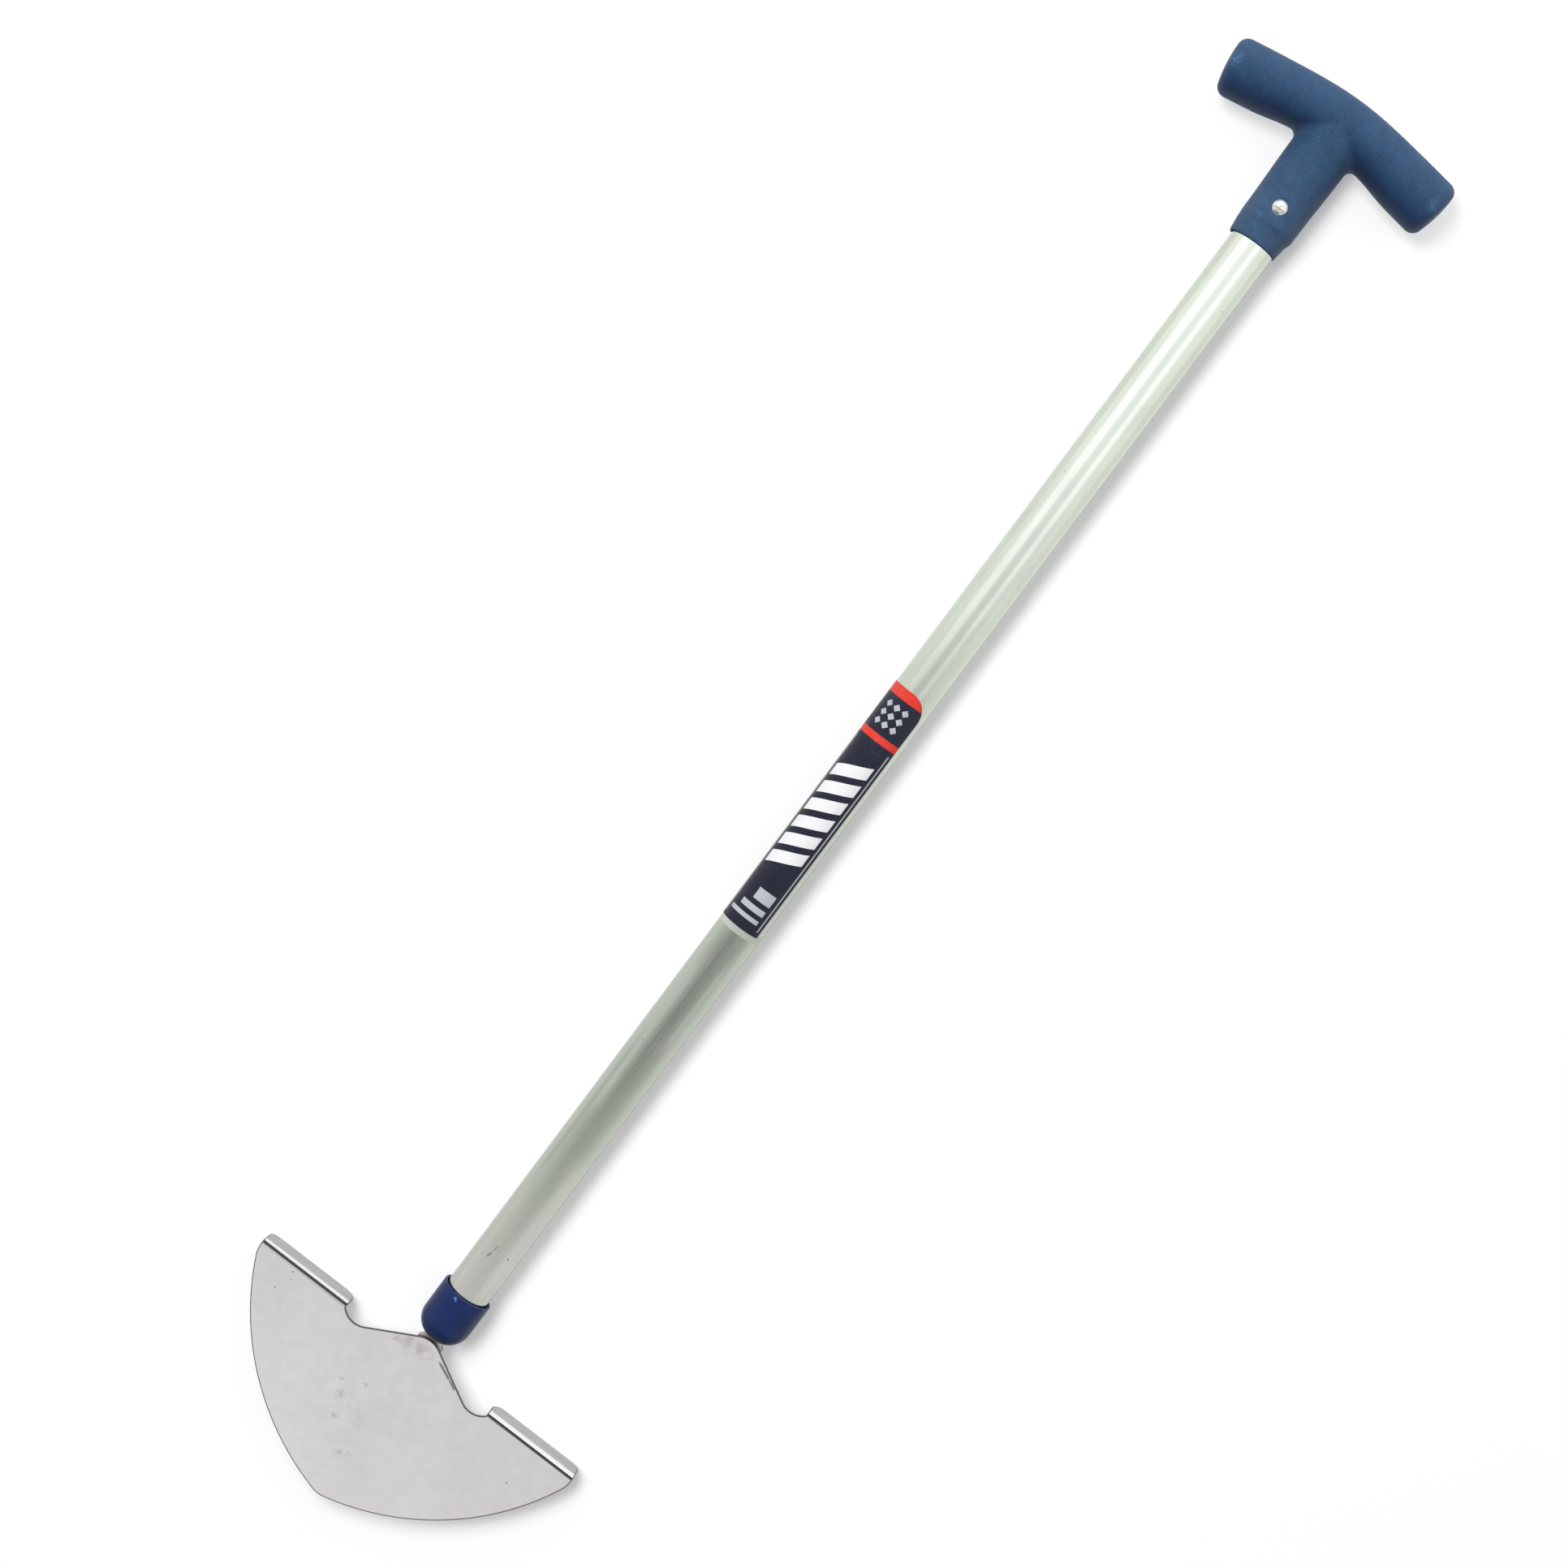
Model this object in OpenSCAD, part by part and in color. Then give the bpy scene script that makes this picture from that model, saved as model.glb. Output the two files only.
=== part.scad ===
// Half moon lawn edger: stainless blade with folded treads, tube shaft and moulded T grip.
// It lies face up on the ground, with the shaft along +X from the blade to the grip.

/* [Blade] */
// Width across the tips
blade_w = 215; // [180:1:250]
// Rounding of the point
point_r = 15; // [5:0.5:30]
// Slope of the cutting edge on each side of the point
edge_lean = 14.5; // [10:0.1:18]
// Rounding of the two tips
tip_r = 18.9; // [10:0.1:26]
// Thickness of the sheet
sheet_t = 1.5; // [1:0.1:2]
// Distance from the point of the blade to the face of the treads
tread_h = 96.8; // [85:0.1:115]
// Depth of the folded treads, down to the ground
tread_depth = 17.2; // [15.5:0.1:20]
// Inside radius of the tread fold
fold_r = 1; // [0.6:0.1:1.6]
// Corner radius at the outer end of a tread
tread_outer_r = 5; // [3:0.5:8]
// Corner radius at the inner end of a tread
tread_inner_r = 8; // [5:0.5:11]
// Radius of the notch beside each tread
notch_r = 11.8; // [9:0.1:13]
// Depth of the notches below the face of the treads
notch_depth = 6.3; // [4.5:0.1:8]
// Slope of the shoulders between the notches
shoulder_angle = 29; // [25:0.5:33]
// Rise of the shoulders above the face of the treads
shoulder_rise = 12.2; // [10:0.1:16]
// Rounding where the two shoulders meet
shoulder_r = 14; // [6:0.5:18]

/* [Tang] */
// Diameter of the tang bar
tang_d = 11; // [10:0.1:13]
// Length of the tang above the blade
tang_len = 68; // [55:1:90]
// Width of the half lap behind the blade
lap_w = 16; // [14:0.5:20]
// Length of the half lap behind the blade
lap_len = 34; // [26:1:44]
// Radius of the hollow flare from the bar to the half lap
lap_flare_r = 5; // [3.5:0.5:8]
// How far the half lap is forged up from the underside of the bar
lap_inset = 0.7; // [0.4:0.1:1]
// Leg of the weld beads
weld_leg = 3; // [2:0.5:4]
// Diameter of the cross pin in the tang
tang_pin_d = 5; // [4:0.1:6]
// Distance of the cross pin above the lower end of the tube
tang_pin_h = 13; // [8:0.5:16]

/* [Collar] */
// Wall of the collar
collar_wall = 1.5; // [1.2:0.1:2.5]
// Length of the collar
collar_len = 31.7; // [26:0.1:40]
// Radius of the rounded lower end
collar_dome_r = 12.3; // [8:0.1:12.8]
// Gap all round between collar and tube
collar_gap = 0.6; // [0.3:0.1:0.8]
// Distance from the top of the blade to the collar
collar_lift = 2.7; // [0.5:0.1:4]

/* [Shaft] */
// Outside diameter of the tube
tube_d = 25.4; // [22:0.1:28]
// Wall of the tube
tube_wall = 1.2; // [0.8:0.1:2]
// Length of tube to be seen between collar and grip
tube_seen = 699.3; // [450:1:900]

/* [Label] */
// Length of the label
label_len = 155; // [80:1:200]
// Distance from the rim of the collar to the label
label_start = 254; // [50:1:280]
// Thickness of the label
label_t = 0.12; // [0.1:0.01:0.3]
// How far the label wraps round the tube
label_wrap = 271; // [180:1:320]
// Angle of its seen edge from the top of the tube
label_edge = 53; // [20:1:80]

/* [Grip] */
// Diameter of the grip arms at their ends
grip_d = 32.4; // [31.6:0.1:34]
// Diameter of the grip bar at its middle
grip_waist_d = 31.4; // [30:0.1:32]
// Width of the grip from end to end
grip_w = 136; // [115:1:160]
// Radius of the arched middle of the bar at its middle line
grip_arch_r = 225; // [180:1:280]
// Lean of the straight arms
grip_lean = 8.8; // [7:0.1:11]
// Rounding of the arm ends
grip_end_r = 6; // [3:0.5:8]
// Radius of the domed end faces
grip_dome_r = 70; // [50:1:120]
// Radius of the fillets between bar and stem
crotch_r = 5; // [3:0.5:9]
// Distance from the rim of the stem to the middle of the bar
stem_len = 74.7; // [62:0.1:110]
// Wall of the stem at its step
stem_wall = 3; // [2.5:0.1:3.4]
// Distance from the rim to the step
step_len = 9.5; // [7:0.1:12]
// Run of the sloped step
step_run = 2.5; // [1.5:0.1:4]
// Wall of the lip at the step
lip_wall = 2.4; // [1.8:0.1:2.5]
// Wall of the lip at the rim
rim_wall = 0.7; // [0.5:0.1:1]
// Widening of the socket mouth
mouth_flare = 0.5; // [0.2:0.1:0.7]
// Length of the widened mouth
mouth_len = 5; // [3:0.5:7]
// Thickness of the grip past the end of the tube
socket_cap = 12; // [8:0.5:30]

/* [Grip rivet] */
// Distance of the rivet from the rim of the stem
rivet_h = 21.1; // [19:0.1:28]
// Diameter of the rivet shank
rivet_d = 4.8; // [4:0.1:6]
// Diameter of the domed head
rivet_head_d = 8; // [7:0.1:9]
// Height of the domed head
rivet_head_h = 1.9; // [1.2:0.1:2.4]
// Thickness of the flush tail
rivet_tail_t = 0.6; // [0.4:0.1:0.8]
// Depth of the flat seats for the rivet
rivet_seat = 0.7; // [0.6:0.05:0.9]

/* [Hidden] */
$fn = 96;

// Overrun of every cut
cut = 1;
// Clearance of round fits
fit = 0.05;
// How far one form is sunk into the next, so that the two become one
sink = 0.15;
// Angle between the points of a drawn arc
arc_step = 3;
// Share of the collar wall that stays beside its floor
floor_wall_share = 0.6;

// Diameters that follow the tube
socket_d = tube_d + 2 * fit;
rim_d = socket_d + 2 * mouth_flare + 2 * rim_wall;
lip_d = tube_d + 2 * lip_wall;
stem_d = tube_d + 2 * stem_wall;
collar_d = tube_d + 2 * collar_gap + 2 * collar_wall;

// Heights above the ground
axis_z = max(grip_d, grip_waist_d, stem_d) / 2;
sheet_back = tread_depth - sheet_t;

// Floor of the collar, where its rounded end still has most of its wall beside the tube
floor_turn_r = collar_dome_r - (1 - floor_wall_share) * collar_wall;
collar_floor = collar_dome_r - sqrt(pow(collar_dome_r, 2) - pow(floor_turn_r, 2));

// Places along the shaft, from the point of the blade
blade_h = tread_h + shoulder_rise;
collar_x = blade_h + collar_lift;
tube_x = collar_x + collar_floor;
tang_pin_x = tube_x + tang_pin_h;
collar_rim_x = collar_x + collar_len;
rim_x = collar_rim_x + tube_seen;
bar_x = rim_x + stem_len;
rivet_x = rim_x + rivet_h;
tang_end_x = collar_x + tang_len;
overall_len = bar_x + grip_waist_d / 2;
tube_len = overall_len - socket_cap - tube_x;

// Length of an arm from the end of the arched middle to its domed end
arm_len = (grip_w / 2 - grip_dome_r - grip_arch_r * sin(grip_lean)) / cos(grip_lean) + grip_dome_r;

// Circles of the blade outline
fold_outer_r = fold_r + sheet_t;
fold_h = tread_h - fold_outer_r;
tip_y = blade_w / 2 - tip_r;
point_gap = fold_h - point_r;
edge_reach = (pow(point_gap, 2) + pow(tip_y, 2) - pow(point_r - tip_r, 2))
    / 2 / (point_r - tip_r + point_gap * cos(edge_lean) - tip_y * sin(edge_lean));
edge_r = edge_reach + point_r;
edge_mid = [point_r + edge_reach * cos(edge_lean), -edge_reach * sin(edge_lean)];
tip_turn = atan2(tip_y - edge_mid.y, edge_mid.x - fold_h);
shoulder_h = blade_h + shoulder_r * (1 / cos(shoulder_angle) - 1);
notch_mid_h = tread_h - notch_depth + notch_r;
notch_y = (notch_r / cos(shoulder_angle) + shoulder_h - notch_mid_h) / tan(shoulder_angle);
notch_turn = acos((notch_mid_h - fold_h) / notch_r);
tread_y = notch_y + notch_r * sin(notch_turn);
tread_len = blade_w / 2 - tread_y;

// Points of an arc about a centre, from one angle to another
function arc(mid, r, from, to) =
    let (steps = ceil(abs(to - from) / arc_step))
    [for (i = [0 : steps]) let (a = from + (to - from) * i / steps) mid + r * [cos(a), sin(a)]];

// One half of the blade outline, from the point of the blade to the top of the shoulders
function half_outline() = concat(
    arc([point_r, 0], point_r, 180, 180 - edge_lean),
    arc(edge_mid, edge_r, 180 - edge_lean, 180 - tip_turn),
    arc([fold_h, tip_y], tip_r, 180 - tip_turn, 90),
    arc([notch_mid_h, notch_y], notch_r, 180 - notch_turn, 180 + shoulder_angle),
    arc([blade_h - shoulder_r, 0], shoulder_r, shoulder_angle, 0));

function mirrored(points) = [for (i = [len(points) - 1 : -1 : 0]) [points[i].x, -points[i].y]];

// Turns a shape from the Z axis onto the shaft axis, starting at a place along it
module on_shaft(x) {
    translate([x, 0, axis_z]) rotate([0, 90, 0]) children();
}

// A round bar or cut across the shaft, from the ground side to the front
module across(x, d, from, to) {
    translate([x, 0, axis_z + from]) cylinder(d = d, h = to - from);
}

module both_sides() {
    for (side = [0, 1]) mirror([0, side, 0]) children();
}

// Whole part moved so that its origin is below the middle of its length
module placed() {
    translate([-overall_len / 2, 0, 0]) children();
}

// Section of the fold, drawn in the X and Z of the blade, with both ends sunk into what they meet
module fold_section() {
    intersection() {
        difference() {
            circle(r = fold_outer_r);
            circle(r = fold_r);
        }
        square(fold_outer_r);
    }
    translate([-sink, fold_r]) square([sink, sheet_t]);
    translate([fold_r, -sink]) square([sheet_t, sink]);
}

// Face of a tread below its fold, drawn from its inner end down to the ground
module tread_face() {
    drop = tread_depth - fold_outer_r;
    polygon(concat(
        [[0, 0]],
        arc([tread_inner_r, -drop + tread_inner_r], tread_inner_r, 180, 270),
        arc([tread_len - tread_outer_r, -drop + tread_outer_r], tread_outer_r, 270, 360),
        [[tread_len, 0]]));
}

module blade() {
    outline = half_outline();
    color("#d2cfcf") placed() {
        translate([0, 0, sheet_back]) linear_extrude(sheet_t) polygon(concat(outline, mirrored(outline)));
        both_sides() {
            translate([fold_h, tread_y + tread_len, tread_depth - fold_outer_r])
                rotate([90, 0, 0]) linear_extrude(tread_len) fold_section();
            translate([tread_h - sheet_t, tread_y, tread_depth - fold_outer_r])
                rotate([90, 0, 90]) linear_extrude(sheet_t) tread_face();
        }
    }
}

// Plan of the half lap: neck, flare and round end
module lap_plan() {
    end_x = collar_x - lap_len;
    difference() {
        union() {
            translate([end_x + lap_w / 2, -lap_w / 2]) square([lap_len - lap_w / 2, lap_w]);
            translate([end_x + lap_w / 2, 0]) circle(d = lap_w);
        }
        both_sides() translate([collar_x, tang_d / 2 + lap_flare_r]) circle(r = lap_flare_r);
    }
}

module tang() {
    lap_z = axis_z - tang_d / 2 + lap_inset;
    color("#b9b6b2") placed() difference() {
        union() {
            on_shaft(collar_x) cylinder(d = tang_d, h = tang_len);
            translate([collar_x, 0, axis_z]) sphere(d = tang_d);
            translate([0, 0, lap_z]) linear_extrude(sheet_back - lap_z) lap_plan();
        }
        translate([0, tang_d, 0]) rotate([90, 0, 0]) linear_extrude(2 * tang_d) lap_room();
        across(tang_pin_x, tang_pin_d + 2 * fit, -tang_d, tang_d);
    }
}

// Space above the half lap, with a ramp up to the full bar inside the collar
module lap_room() {
    top = axis_z + tang_d;
    polygon([[0, sheet_back], [collar_x, sheet_back], [collar_x + top - sheet_back, top], [0, top]]);
}

module tang_welds() {
    run = lap_len - lap_w;
    color("#8c8780") placed() both_sides()
        intersection() {
            translate([collar_x - lap_len + lap_w / 2, lap_w / 2, sheet_back])
                rotate([0, 90, 0]) cylinder(r = weld_leg, h = run);
            translate([0, lap_w / 2, 0]) cube([collar_x, lap_w, sheet_back]);
        }
}

module tang_bush() {
    color("#5b5d60") placed() difference() {
        on_shaft(tube_x) cylinder(d = tube_d - 2 * tube_wall - 2 * fit, h = tang_end_x - tube_x);
        on_shaft(tube_x - cut) cylinder(d = tang_d + 2 * fit, h = tang_len + 2 * cut);
        across(tang_pin_x, tang_pin_d + 2 * fit, -tube_d, tube_d);
    }
}

module tang_pin() {
    color("#9a9a9a") placed() across(tang_pin_x, tang_pin_d, -tube_d / 2, tube_d / 2);
}

// Section of the collar: radius across, length up from the rounded end
module collar_section() {
    r = collar_d / 2;
    difference() {
        union() {
            translate([0, collar_dome_r]) square([r, collar_len - collar_dome_r]);
            translate([r - collar_dome_r, collar_dome_r]) circle(r = collar_dome_r);
        }
        translate([-r, -cut]) square([r + tang_d / 2 + 2 * fit, collar_len + 2 * cut]);
        translate([-r, collar_floor]) square([r + tube_d / 2 + collar_gap, collar_len]);
    }
}

module collar() {
    color("#26346a") placed() on_shaft(collar_x) rotate_extrude() collar_section();
}

module shaft_tube() {
    color("#c6cac2") placed() difference() {
        on_shaft(tube_x) cylinder(d = tube_d, h = tube_len);
        on_shaft(tube_x - cut) cylinder(d = tube_d - 2 * tube_wall, h = tube_len + 2 * cut);
        across(tang_pin_x, tang_pin_d + 2 * fit, -tube_d, tube_d);
        across(rivet_x, rivet_d + 2 * fit, -tube_d, tube_d);
    }
}

module label() {
    color("#e8e8ea") placed() on_shaft(collar_rim_x + label_start)
        rotate([0, 0, 180 + label_edge - label_wrap]) rotate_extrude(angle = label_wrap)
            translate([tube_d / 2 + fit, 0]) square([label_t, label_len]);
}

// Section of the stem: radius across, length up from its rim
module stem_section() {
    polygon([[0, 0], [rim_d / 2, 0], [lip_d / 2, step_len], [stem_d / 2, step_len + step_run],
             [grip_waist_d / 2 - sink, stem_len], [0, stem_len]]);
}

// Section of an arm: radius across, length out to its domed end, root sunk into the middle of the bar
module arm_section() {
    r = grip_d / 2;
    root_r = grip_waist_d / 2 - fit;
    corner = [r - grip_end_r,
              arm_len - grip_dome_r + sqrt(pow(grip_dome_r - grip_end_r, 2) - pow(r - grip_end_r, 2))];
    polygon([[0, -sink], [root_r, -sink], [root_r, 0], [r, corner.y], [0, corner.y]]);
    translate(corner) circle(r = grip_end_r);
    intersection() {
        translate([0, arm_len - grip_dome_r]) circle(r = grip_dome_r);
        square([corner.x * grip_dome_r / (grip_dome_r - grip_end_r), arm_len]);
    }
}

// Arched middle of the bar with the two straight arms, seen about the centre of the arch
module grip_bar() {
    translate([bar_x - grip_arch_r, 0, axis_z]) {
        rotate([0, 0, -grip_lean]) rotate_extrude(angle = 2 * grip_lean)
            translate([grip_arch_r, 0]) circle(d = grip_waist_d);
        both_sides() rotate([0, 0, grip_lean]) translate([grip_arch_r, 0, 0]) rotate([-90, 0, 0])
            rotate_extrude() arm_section();
    }
}

// Fillet between stem and bar: a bend of the same thickness that runs from one into the other
module crotch() {
    r = grip_waist_d / 2;
    mid_y = r + crotch_r;
    reach = sqrt(pow(grip_arch_r - mid_y, 2) - pow(mid_y, 2));
    lean = atan2(mid_y, reach);
    translate([bar_x - grip_arch_r + reach, mid_y, axis_z]) rotate([0, 0, -90])
        rotate_extrude(angle = 90 + lean) translate([mid_y, 0]) circle(r = r - sink);
}

module handle() {
    seat_z = stem_d / 2 - rivet_seat;
    color("#2e4a70") placed() difference() {
        union() {
            grip_bar();
            on_shaft(rim_x) rotate_extrude() stem_section();
            both_sides() crotch();
        }
        on_shaft(rim_x - cut) cylinder(d = socket_d, h = tube_x + tube_len - rim_x + cut);
        on_shaft(rim_x) cylinder(d1 = socket_d + 2 * mouth_flare, d2 = socket_d, h = mouth_len);
        across(rivet_x, rivet_d + 2 * fit, -grip_d, grip_d);
        across(rivet_x, rivet_head_d + 4 * fit, seat_z, grip_d);
        across(rivet_x, rivet_head_d + 4 * fit, -grip_d, -seat_z);
    }
}

// Section of the rivet from the middle of the shaft up: shank and domed head
module rivet_dome(seat_z) {
    cap_r = (pow(rivet_head_d / 2, 2) + pow(rivet_head_h, 2)) / 2 / rivet_head_h;
    square([rivet_d / 2, seat_z]);
    intersection() {
        translate([0, seat_z]) square([rivet_head_d / 2, rivet_head_h]);
        translate([0, seat_z + rivet_head_h - cap_r]) circle(r = cap_r);
    }
}

module handle_rivet() {
    seat_z = stem_d / 2 - rivet_seat;
    color("#d8d8d6") placed() {
        translate([rivet_x, 0, axis_z]) rotate_extrude() rivet_dome(seat_z);
        across(rivet_x, rivet_d, -seat_z, 0);
        across(rivet_x, rivet_head_d, -seat_z - rivet_tail_t, -seat_z);
    }
}

blade();
tang();
tang_welds();
tang_bush();
tang_pin();
collar();
shaft_tube();
label();
handle();
handle_rivet();
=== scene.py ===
"""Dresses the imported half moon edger: blade, neck, collar, shaft, label, grip and a plain studio."""

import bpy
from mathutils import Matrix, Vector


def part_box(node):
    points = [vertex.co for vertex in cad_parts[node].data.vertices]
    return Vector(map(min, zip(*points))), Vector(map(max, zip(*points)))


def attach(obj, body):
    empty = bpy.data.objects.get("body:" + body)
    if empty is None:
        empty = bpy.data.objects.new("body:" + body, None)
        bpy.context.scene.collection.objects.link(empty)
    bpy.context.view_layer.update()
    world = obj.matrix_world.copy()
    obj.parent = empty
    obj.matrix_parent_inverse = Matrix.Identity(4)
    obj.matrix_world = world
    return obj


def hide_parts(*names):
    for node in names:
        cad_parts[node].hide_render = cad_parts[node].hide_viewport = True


bl_info = {
    "name": "Half Moon Edger",
    "version": (1, 0, 0),
    "blender": (4, 5, 0),
    "location": "3D View > Sidebar > Edger",
    "description": "Builds the dressed pieces of a half moon lawn edger on its packed frame",
    "category": "Add Mesh",
}

import math

import bmesh
import bpy
import numpy as np
from bpy.props import FloatProperty, FloatVectorProperty, PointerProperty
from mathutils import Matrix, Vector

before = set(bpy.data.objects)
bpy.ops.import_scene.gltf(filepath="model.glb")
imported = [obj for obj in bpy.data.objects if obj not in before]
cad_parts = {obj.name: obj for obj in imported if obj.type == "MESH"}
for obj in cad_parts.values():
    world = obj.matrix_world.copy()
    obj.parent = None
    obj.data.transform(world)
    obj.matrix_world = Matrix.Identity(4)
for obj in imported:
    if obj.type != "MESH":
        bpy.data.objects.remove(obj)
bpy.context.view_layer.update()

MM = 0.001
TINY = 1e-9
BLADE_LOW, BLADE_HIGH = (Vector(corner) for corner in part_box("blade"))
TUBE_LOW, TUBE_HIGH = (Vector(corner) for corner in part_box("shaft_tube"))
COLLAR_HIGH = Vector(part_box("collar")[1])
LABEL_LOW, LABEL_HIGH = (Vector(corner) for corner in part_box("label"))
GRIP_LOW, GRIP_HIGH = (Vector(corner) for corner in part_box("handle"))
RIVET_LOW, RIVET_HIGH = (Vector(corner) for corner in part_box("handle_rivet"))
WELD_LOW, WELD_HIGH = (Vector(corner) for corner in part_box("tang_welds"))
AXIS_Z = (TUBE_LOW.z + TUBE_HIGH.z) / 2
# Height of the face of the blade, in millimetres
FACE = BLADE_HIGH.z / MM


def tone(red, green, blue):
    """Linear colour of a tone written in 0 to 255."""
    linear = []
    for part in (red, green, blue):
        part /= 255
        linear.append(part / 12.92 if part <= 0.04045 else ((part + 0.055) / 1.055) ** 2.4)
    return tuple(linear)


def from_point(place):
    """A place written in millimetres from the point of the blade."""
    return BLADE_LOW.x + place[0] * MM, place[1] * MM, place[2] * MM


def length(name, description, value):
    """A length property, written in millimetres."""
    return FloatProperty(name=name, description=description, default=value * MM, unit="LENGTH", precision=5)


def angle(name, description, value):
    """An angle property, written in degrees."""
    return FloatProperty(name=name, description=description, default=math.radians(value), subtype="ANGLE")


def colour(name, description, value):
    """A colour property, written as a tone of 0 to 255."""
    return FloatVectorProperty(name=name, description=description, default=tone(*value), subtype="COLOR",
                               size=3, min=0, max=1)


class EdgerBladeSettings(bpy.types.PropertyGroup):
    """Sizes and colours of the pressed blade"""
    sheet: length("Sheet", "Thickness of the blade sheet", 1.5)
    point_r: length("Point radius", "Rounding of the point of the blade", 15)
    tip_r: length("Tip radius", "Rounding of the two tips", 18.9)
    tread: length("Tread height", "Distance from the point to the face of the treads", 96.8)
    fold_r: length("Fold radius", "Inside radius of the tread fold", 1)
    outer_r: length("Outer corner", "Corner radius at the outer end of a tread", 5)
    inner_r: length("Inner corner", "Corner radius at the inner end of a tread", 8)
    notch_r: length("Notch radius", "Radius of the notch beside each tread", 11.8)
    notch: length("Notch depth", "Depth of the notches below the face of the treads", 6.3)
    shoulder_r: length("Shoulder radius", "Rounding where the two shoulders meet", 14)
    edge_r: length("Edge rounding", "Rounding of the cut edges of the sheet", 0.3)
    steel: colour("Steel", "Colour of the polished steel", (219, 217, 216))
    blotch: colour("Blotches", "Colour of the faint blotches in the polish", (215, 211, 212))
    stain: colour("Stains", "Colour of the small stains", (172, 168, 165))
    heat: colour("Heat tint", "Colour left by the weld at the neck", (190, 182, 181))
    # The cut edge colour is painted shade, for the dark reflection of the edges
    rim: colour("Cut edge", "Colour of the cut edge of the sheet", (86, 84, 81))
    # The tread face colour is partly painted shade, for the shaded floor the faces mirror
    tread_face_shaded: colour("Tread face", "Colour of the duller faces of the treads", (186, 184, 182))


class EdgerShaftSettings(bpy.types.PropertyGroup):
    """Sizes and colours of neck, collar, tube and rivet"""
    wall: length("Tube wall", "Wall of the shaft tube", 1.2)
    collar_wall: length("Collar wall", "Wall of the collar", 1.5)
    dome_r: length("Collar dome", "Radius of the rounded end of the collar", 12.3)
    tang_d: length("Tang", "Diameter of the tang bar", 11)
    # The two tube colours hold a tint and painted light: the grip end is lighter where more light falls
    tube_warm_shaded: colour("Tube by the blade", "Colour of the tube near the blade", (197, 197, 190))
    tube_cool_lit: colour("Tube by the grip", "Colour of the tube near the grip", (216, 224, 210))
    collar: colour("Collar", "Colour of the collar", (17, 36, 82))
    scuff: colour("Scuff", "Colour of the scuffs on the plastic", (96, 140, 196))
    neck: colour("Neck steel", "Colour of the tang steel", (196, 192, 188))
    bead: colour("Weld beads", "Colour of the weld beads", (140, 134, 128))
    bush: colour("Bush", "Colour of the hidden bush", (84, 86, 90))
    rivet: colour("Rivet", "Colour of the rivet", (226, 224, 218))


class EdgerLabelSettings(bpy.types.PropertyGroup):
    """Sizes and colours of the label"""
    corner_r: length("Corner", "Corner radius at the grip end of the label", 13)
    wrap: angle("Wrap", "How far the label goes round the tube", 271)
    edge: angle("Edge", "Angle of the seen edge from the top of the tube", 53)
    field: colour("Field", "Colour of the label", (20, 23, 42))
    band: colour("Band", "Colour of the end band", (226, 58, 44))
    bar: colour("Bars", "Colour of the slanted bars", (240, 240, 242))
    line: colour("Lines", "Colour of the thin lines", (186, 190, 196))


class EdgerGripSettings(bpy.types.PropertyGroup):
    """Sizes and colours of the moulded grip"""
    arch_r: length("Arch", "Radius of the arched middle of the bar at its middle line", 225)
    waist_d: length("Waist", "Diameter of the bar at its middle", 31.4)
    lean: angle("Lean", "Lean of the straight arms", 8.8)
    end_r: length("End rounding", "Rounding of the arm ends", 4.6)
    dome_r: length("End dome", "Radius of the domed end faces", 70)
    crotch_r: length("Crotch fillet", "Radius of the fillets between bar and stem", 4.5)
    rivet_h: length("Rivet place", "Distance of the rivet from the rim of the stem", 21.1)
    cell: length("Mesh cell", "Size of the mesh cells of the grip", 1)
    plastic: colour("Plastic", "Colour of the grip", (33, 62, 93))
    worn: colour("Worn plastic", "Colour of the worn spots", (86, 124, 164))


class EdgerStageSettings(bpy.types.PropertyGroup):
    """Colours and places of the studio"""
    floor: colour("Floor", "Colour of the floor", (203, 203, 203))
    camera_place: FloatVectorProperty(name="Camera place", description="Where the camera stands",
                                      default=(0.1528, -0.0258, 1.3683), subtype="TRANSLATION", unit="LENGTH")
    camera_aim: FloatVectorProperty(name="Camera aim", description="Where the camera looks",
                                    default=(0.00526, 0.02763, 0.0162), subtype="TRANSLATION", unit="LENGTH")
    camera_turn: angle("Camera turn", "Turn of the picture about the view", 53.283155)
    camera_lens: FloatProperty(name="Lens", description="Focal length on a sensor 36 mm wide", default=58.494)


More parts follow.
